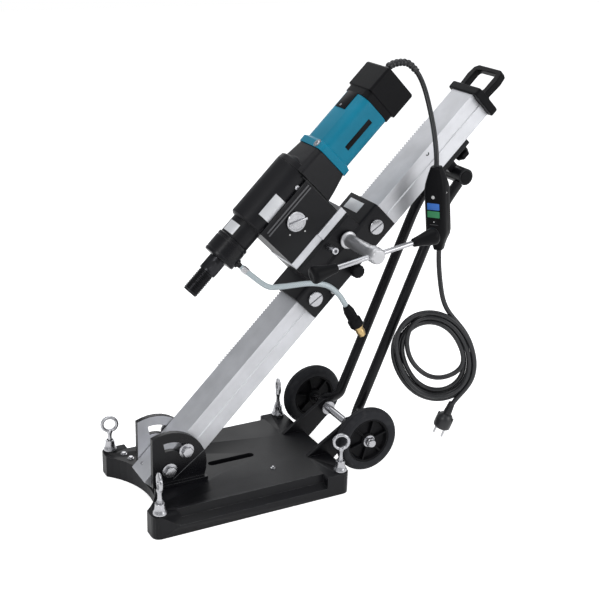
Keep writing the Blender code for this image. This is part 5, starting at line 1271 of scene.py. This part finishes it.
# %% Motor
shell = reskin("motor_shell", 0.8)
reskin("motor_rear_cap", 0.8, 3)
flange_screw = joined(
    "flange_screw",
    turned("flange_screw", [
        (0, -1), (6, -1), (6, 0.8), (4.8, 1.9), (2.6, 2.1), (2.6, 0.5), (0, 0.5)], 24),
    turned("ring", [(6.8, -1), (8.4, -1), (8.4, 0.6), (6.8, 0.6), (6.8, -1)], 28))
settle(flange_screw, COLUMN @ shift(-222.5, -23, 706) @ spin(-90, "Y"))
hang(flange_screw, "carriage", "zinc_plate")
tab = block("cap_tab", (-220.2, -217), (-14, 22), (791, 831), 0.8, COLUMN)
hang(tab, "carriage", "black_plastic")
tab_screw = turned("tab_screw", [
    (0, -0.5), (2.4, -0.5), (2.4, 0.3), (1.1, 0.5), (1.1, 0), (0, 0)],
    18, 0, COLUMN @ shift(-220.2, 8, 797) @ spin(-90, "Y"))
hang(tab_screw, "carriage", "zinc_plate", steel)
badge = block("badge_strip", (-5.4, 5.4), (-40.5, -39.6), (-35.5, 35.5), 0.25,
              COLUMN @ shift(-175, 0, 771.5))
hang(badge, "carriage", "black_plastic")
print("motor shell", len(shell.data.polygons), "faces")

# %% [markdown]
# ## Floor and light
# A pale floor meets a white surround. Only rays from the camera, straight or through a clear skin, see
# that white. A plainer sky and soft lamps light the rig, so that each colour renders about as it was
# written, and mirrors see the floor a little brighter than it is lit.

# %% Floor
clear_selection()
bpy.ops.mesh.primitive_plane_add(size=1, location=(0.2, 0.6, -0.0008))
floor = take("studio_floor")
edit_all()
bpy.ops.transform.resize(value=(14, 14, 1))
bpy.ops.mesh.subdivide(number_cuts=3)
close_edit()
settle(floor)
floor_finish = Finish("studio_floor_finish", (0.86, 0.86, 0.86), 0.9)
seen = floor_finish.node("LightPath", {}, {}, "Is Camera Ray")
mirrored = floor_finish.node("LightPath", {}, {}, "Is Glossy Ray")
floor_finish.surface.inputs["Emission Color"].default_value = (1, 1, 1, 1)
floor_finish.feed("Emission Strength", seen * 0.75 + mirrored * 0.36)
floor.data.materials.append(floor_finish.material)
print("floor 14 m wide")

# %% Surround and lamps
world = bpy.data.worlds.new("studio")
bpy.context.scene.world = world
world.use_nodes = True
sky = world.node_tree
plain_sky = sky.nodes["Background"]
plain_sky.inputs["Color"].default_value = (0.95, 0.97, 1, 1)
plain_sky.inputs["Strength"].default_value = 0.45
white_sky = sky.nodes.new("ShaderNodeBackground")
white_sky.inputs["Color"].default_value = (1, 1, 1, 1)
white_sky.inputs["Strength"].default_value = 1.0
ray = sky.nodes.new("ShaderNodeLightPath")
seen = sky.nodes.new("ShaderNodeMath")
seen.operation = "MAXIMUM"
either = sky.nodes.new("ShaderNodeMixShader")
sky.links.new(ray.outputs["Is Camera Ray"], seen.inputs[0])
sky.links.new(ray.outputs["Is Transmission Ray"], seen.inputs[1])
sky.links.new(seen.outputs[0], either.inputs[0])
sky.links.new(plain_sky.outputs[0], either.inputs[1])
sky.links.new(white_sky.outputs[0], either.inputs[2])
sky.links.new(either.outputs[0], sky.nodes["World Output"].inputs["Surface"])
LAMPS = [
    ("near_right", (1.7, -2.1, 1.3), 1.6, 22), ("overhead", (0.2, 0.1, 2.4), 1.8, 16),
    ("front_left", (-1.7, -1.3, 1.8), 0.7, 13), ("behind", (0.9, 2.2, 1.6), 1.4, 10),
]
for name, place, size, power in LAMPS:
    data = bpy.data.lights.new(name, "AREA")
    data.size, data.energy, data.shape = size, power, "SQUARE"
    lamp = bpy.data.objects.new(name, data)
    bpy.context.scene.collection.objects.link(lamp)
    lamp.location = place
    lamp.rotation_mode = "QUATERNION"
    lamp.rotation_quaternion = (Vector((0.2, 0, 0.4)) - Vector(place)).to_track_quat("-Z", "Y")
bpy.context.scene.view_settings.view_transform = "Standard"
print(len(LAMPS), "lamps")
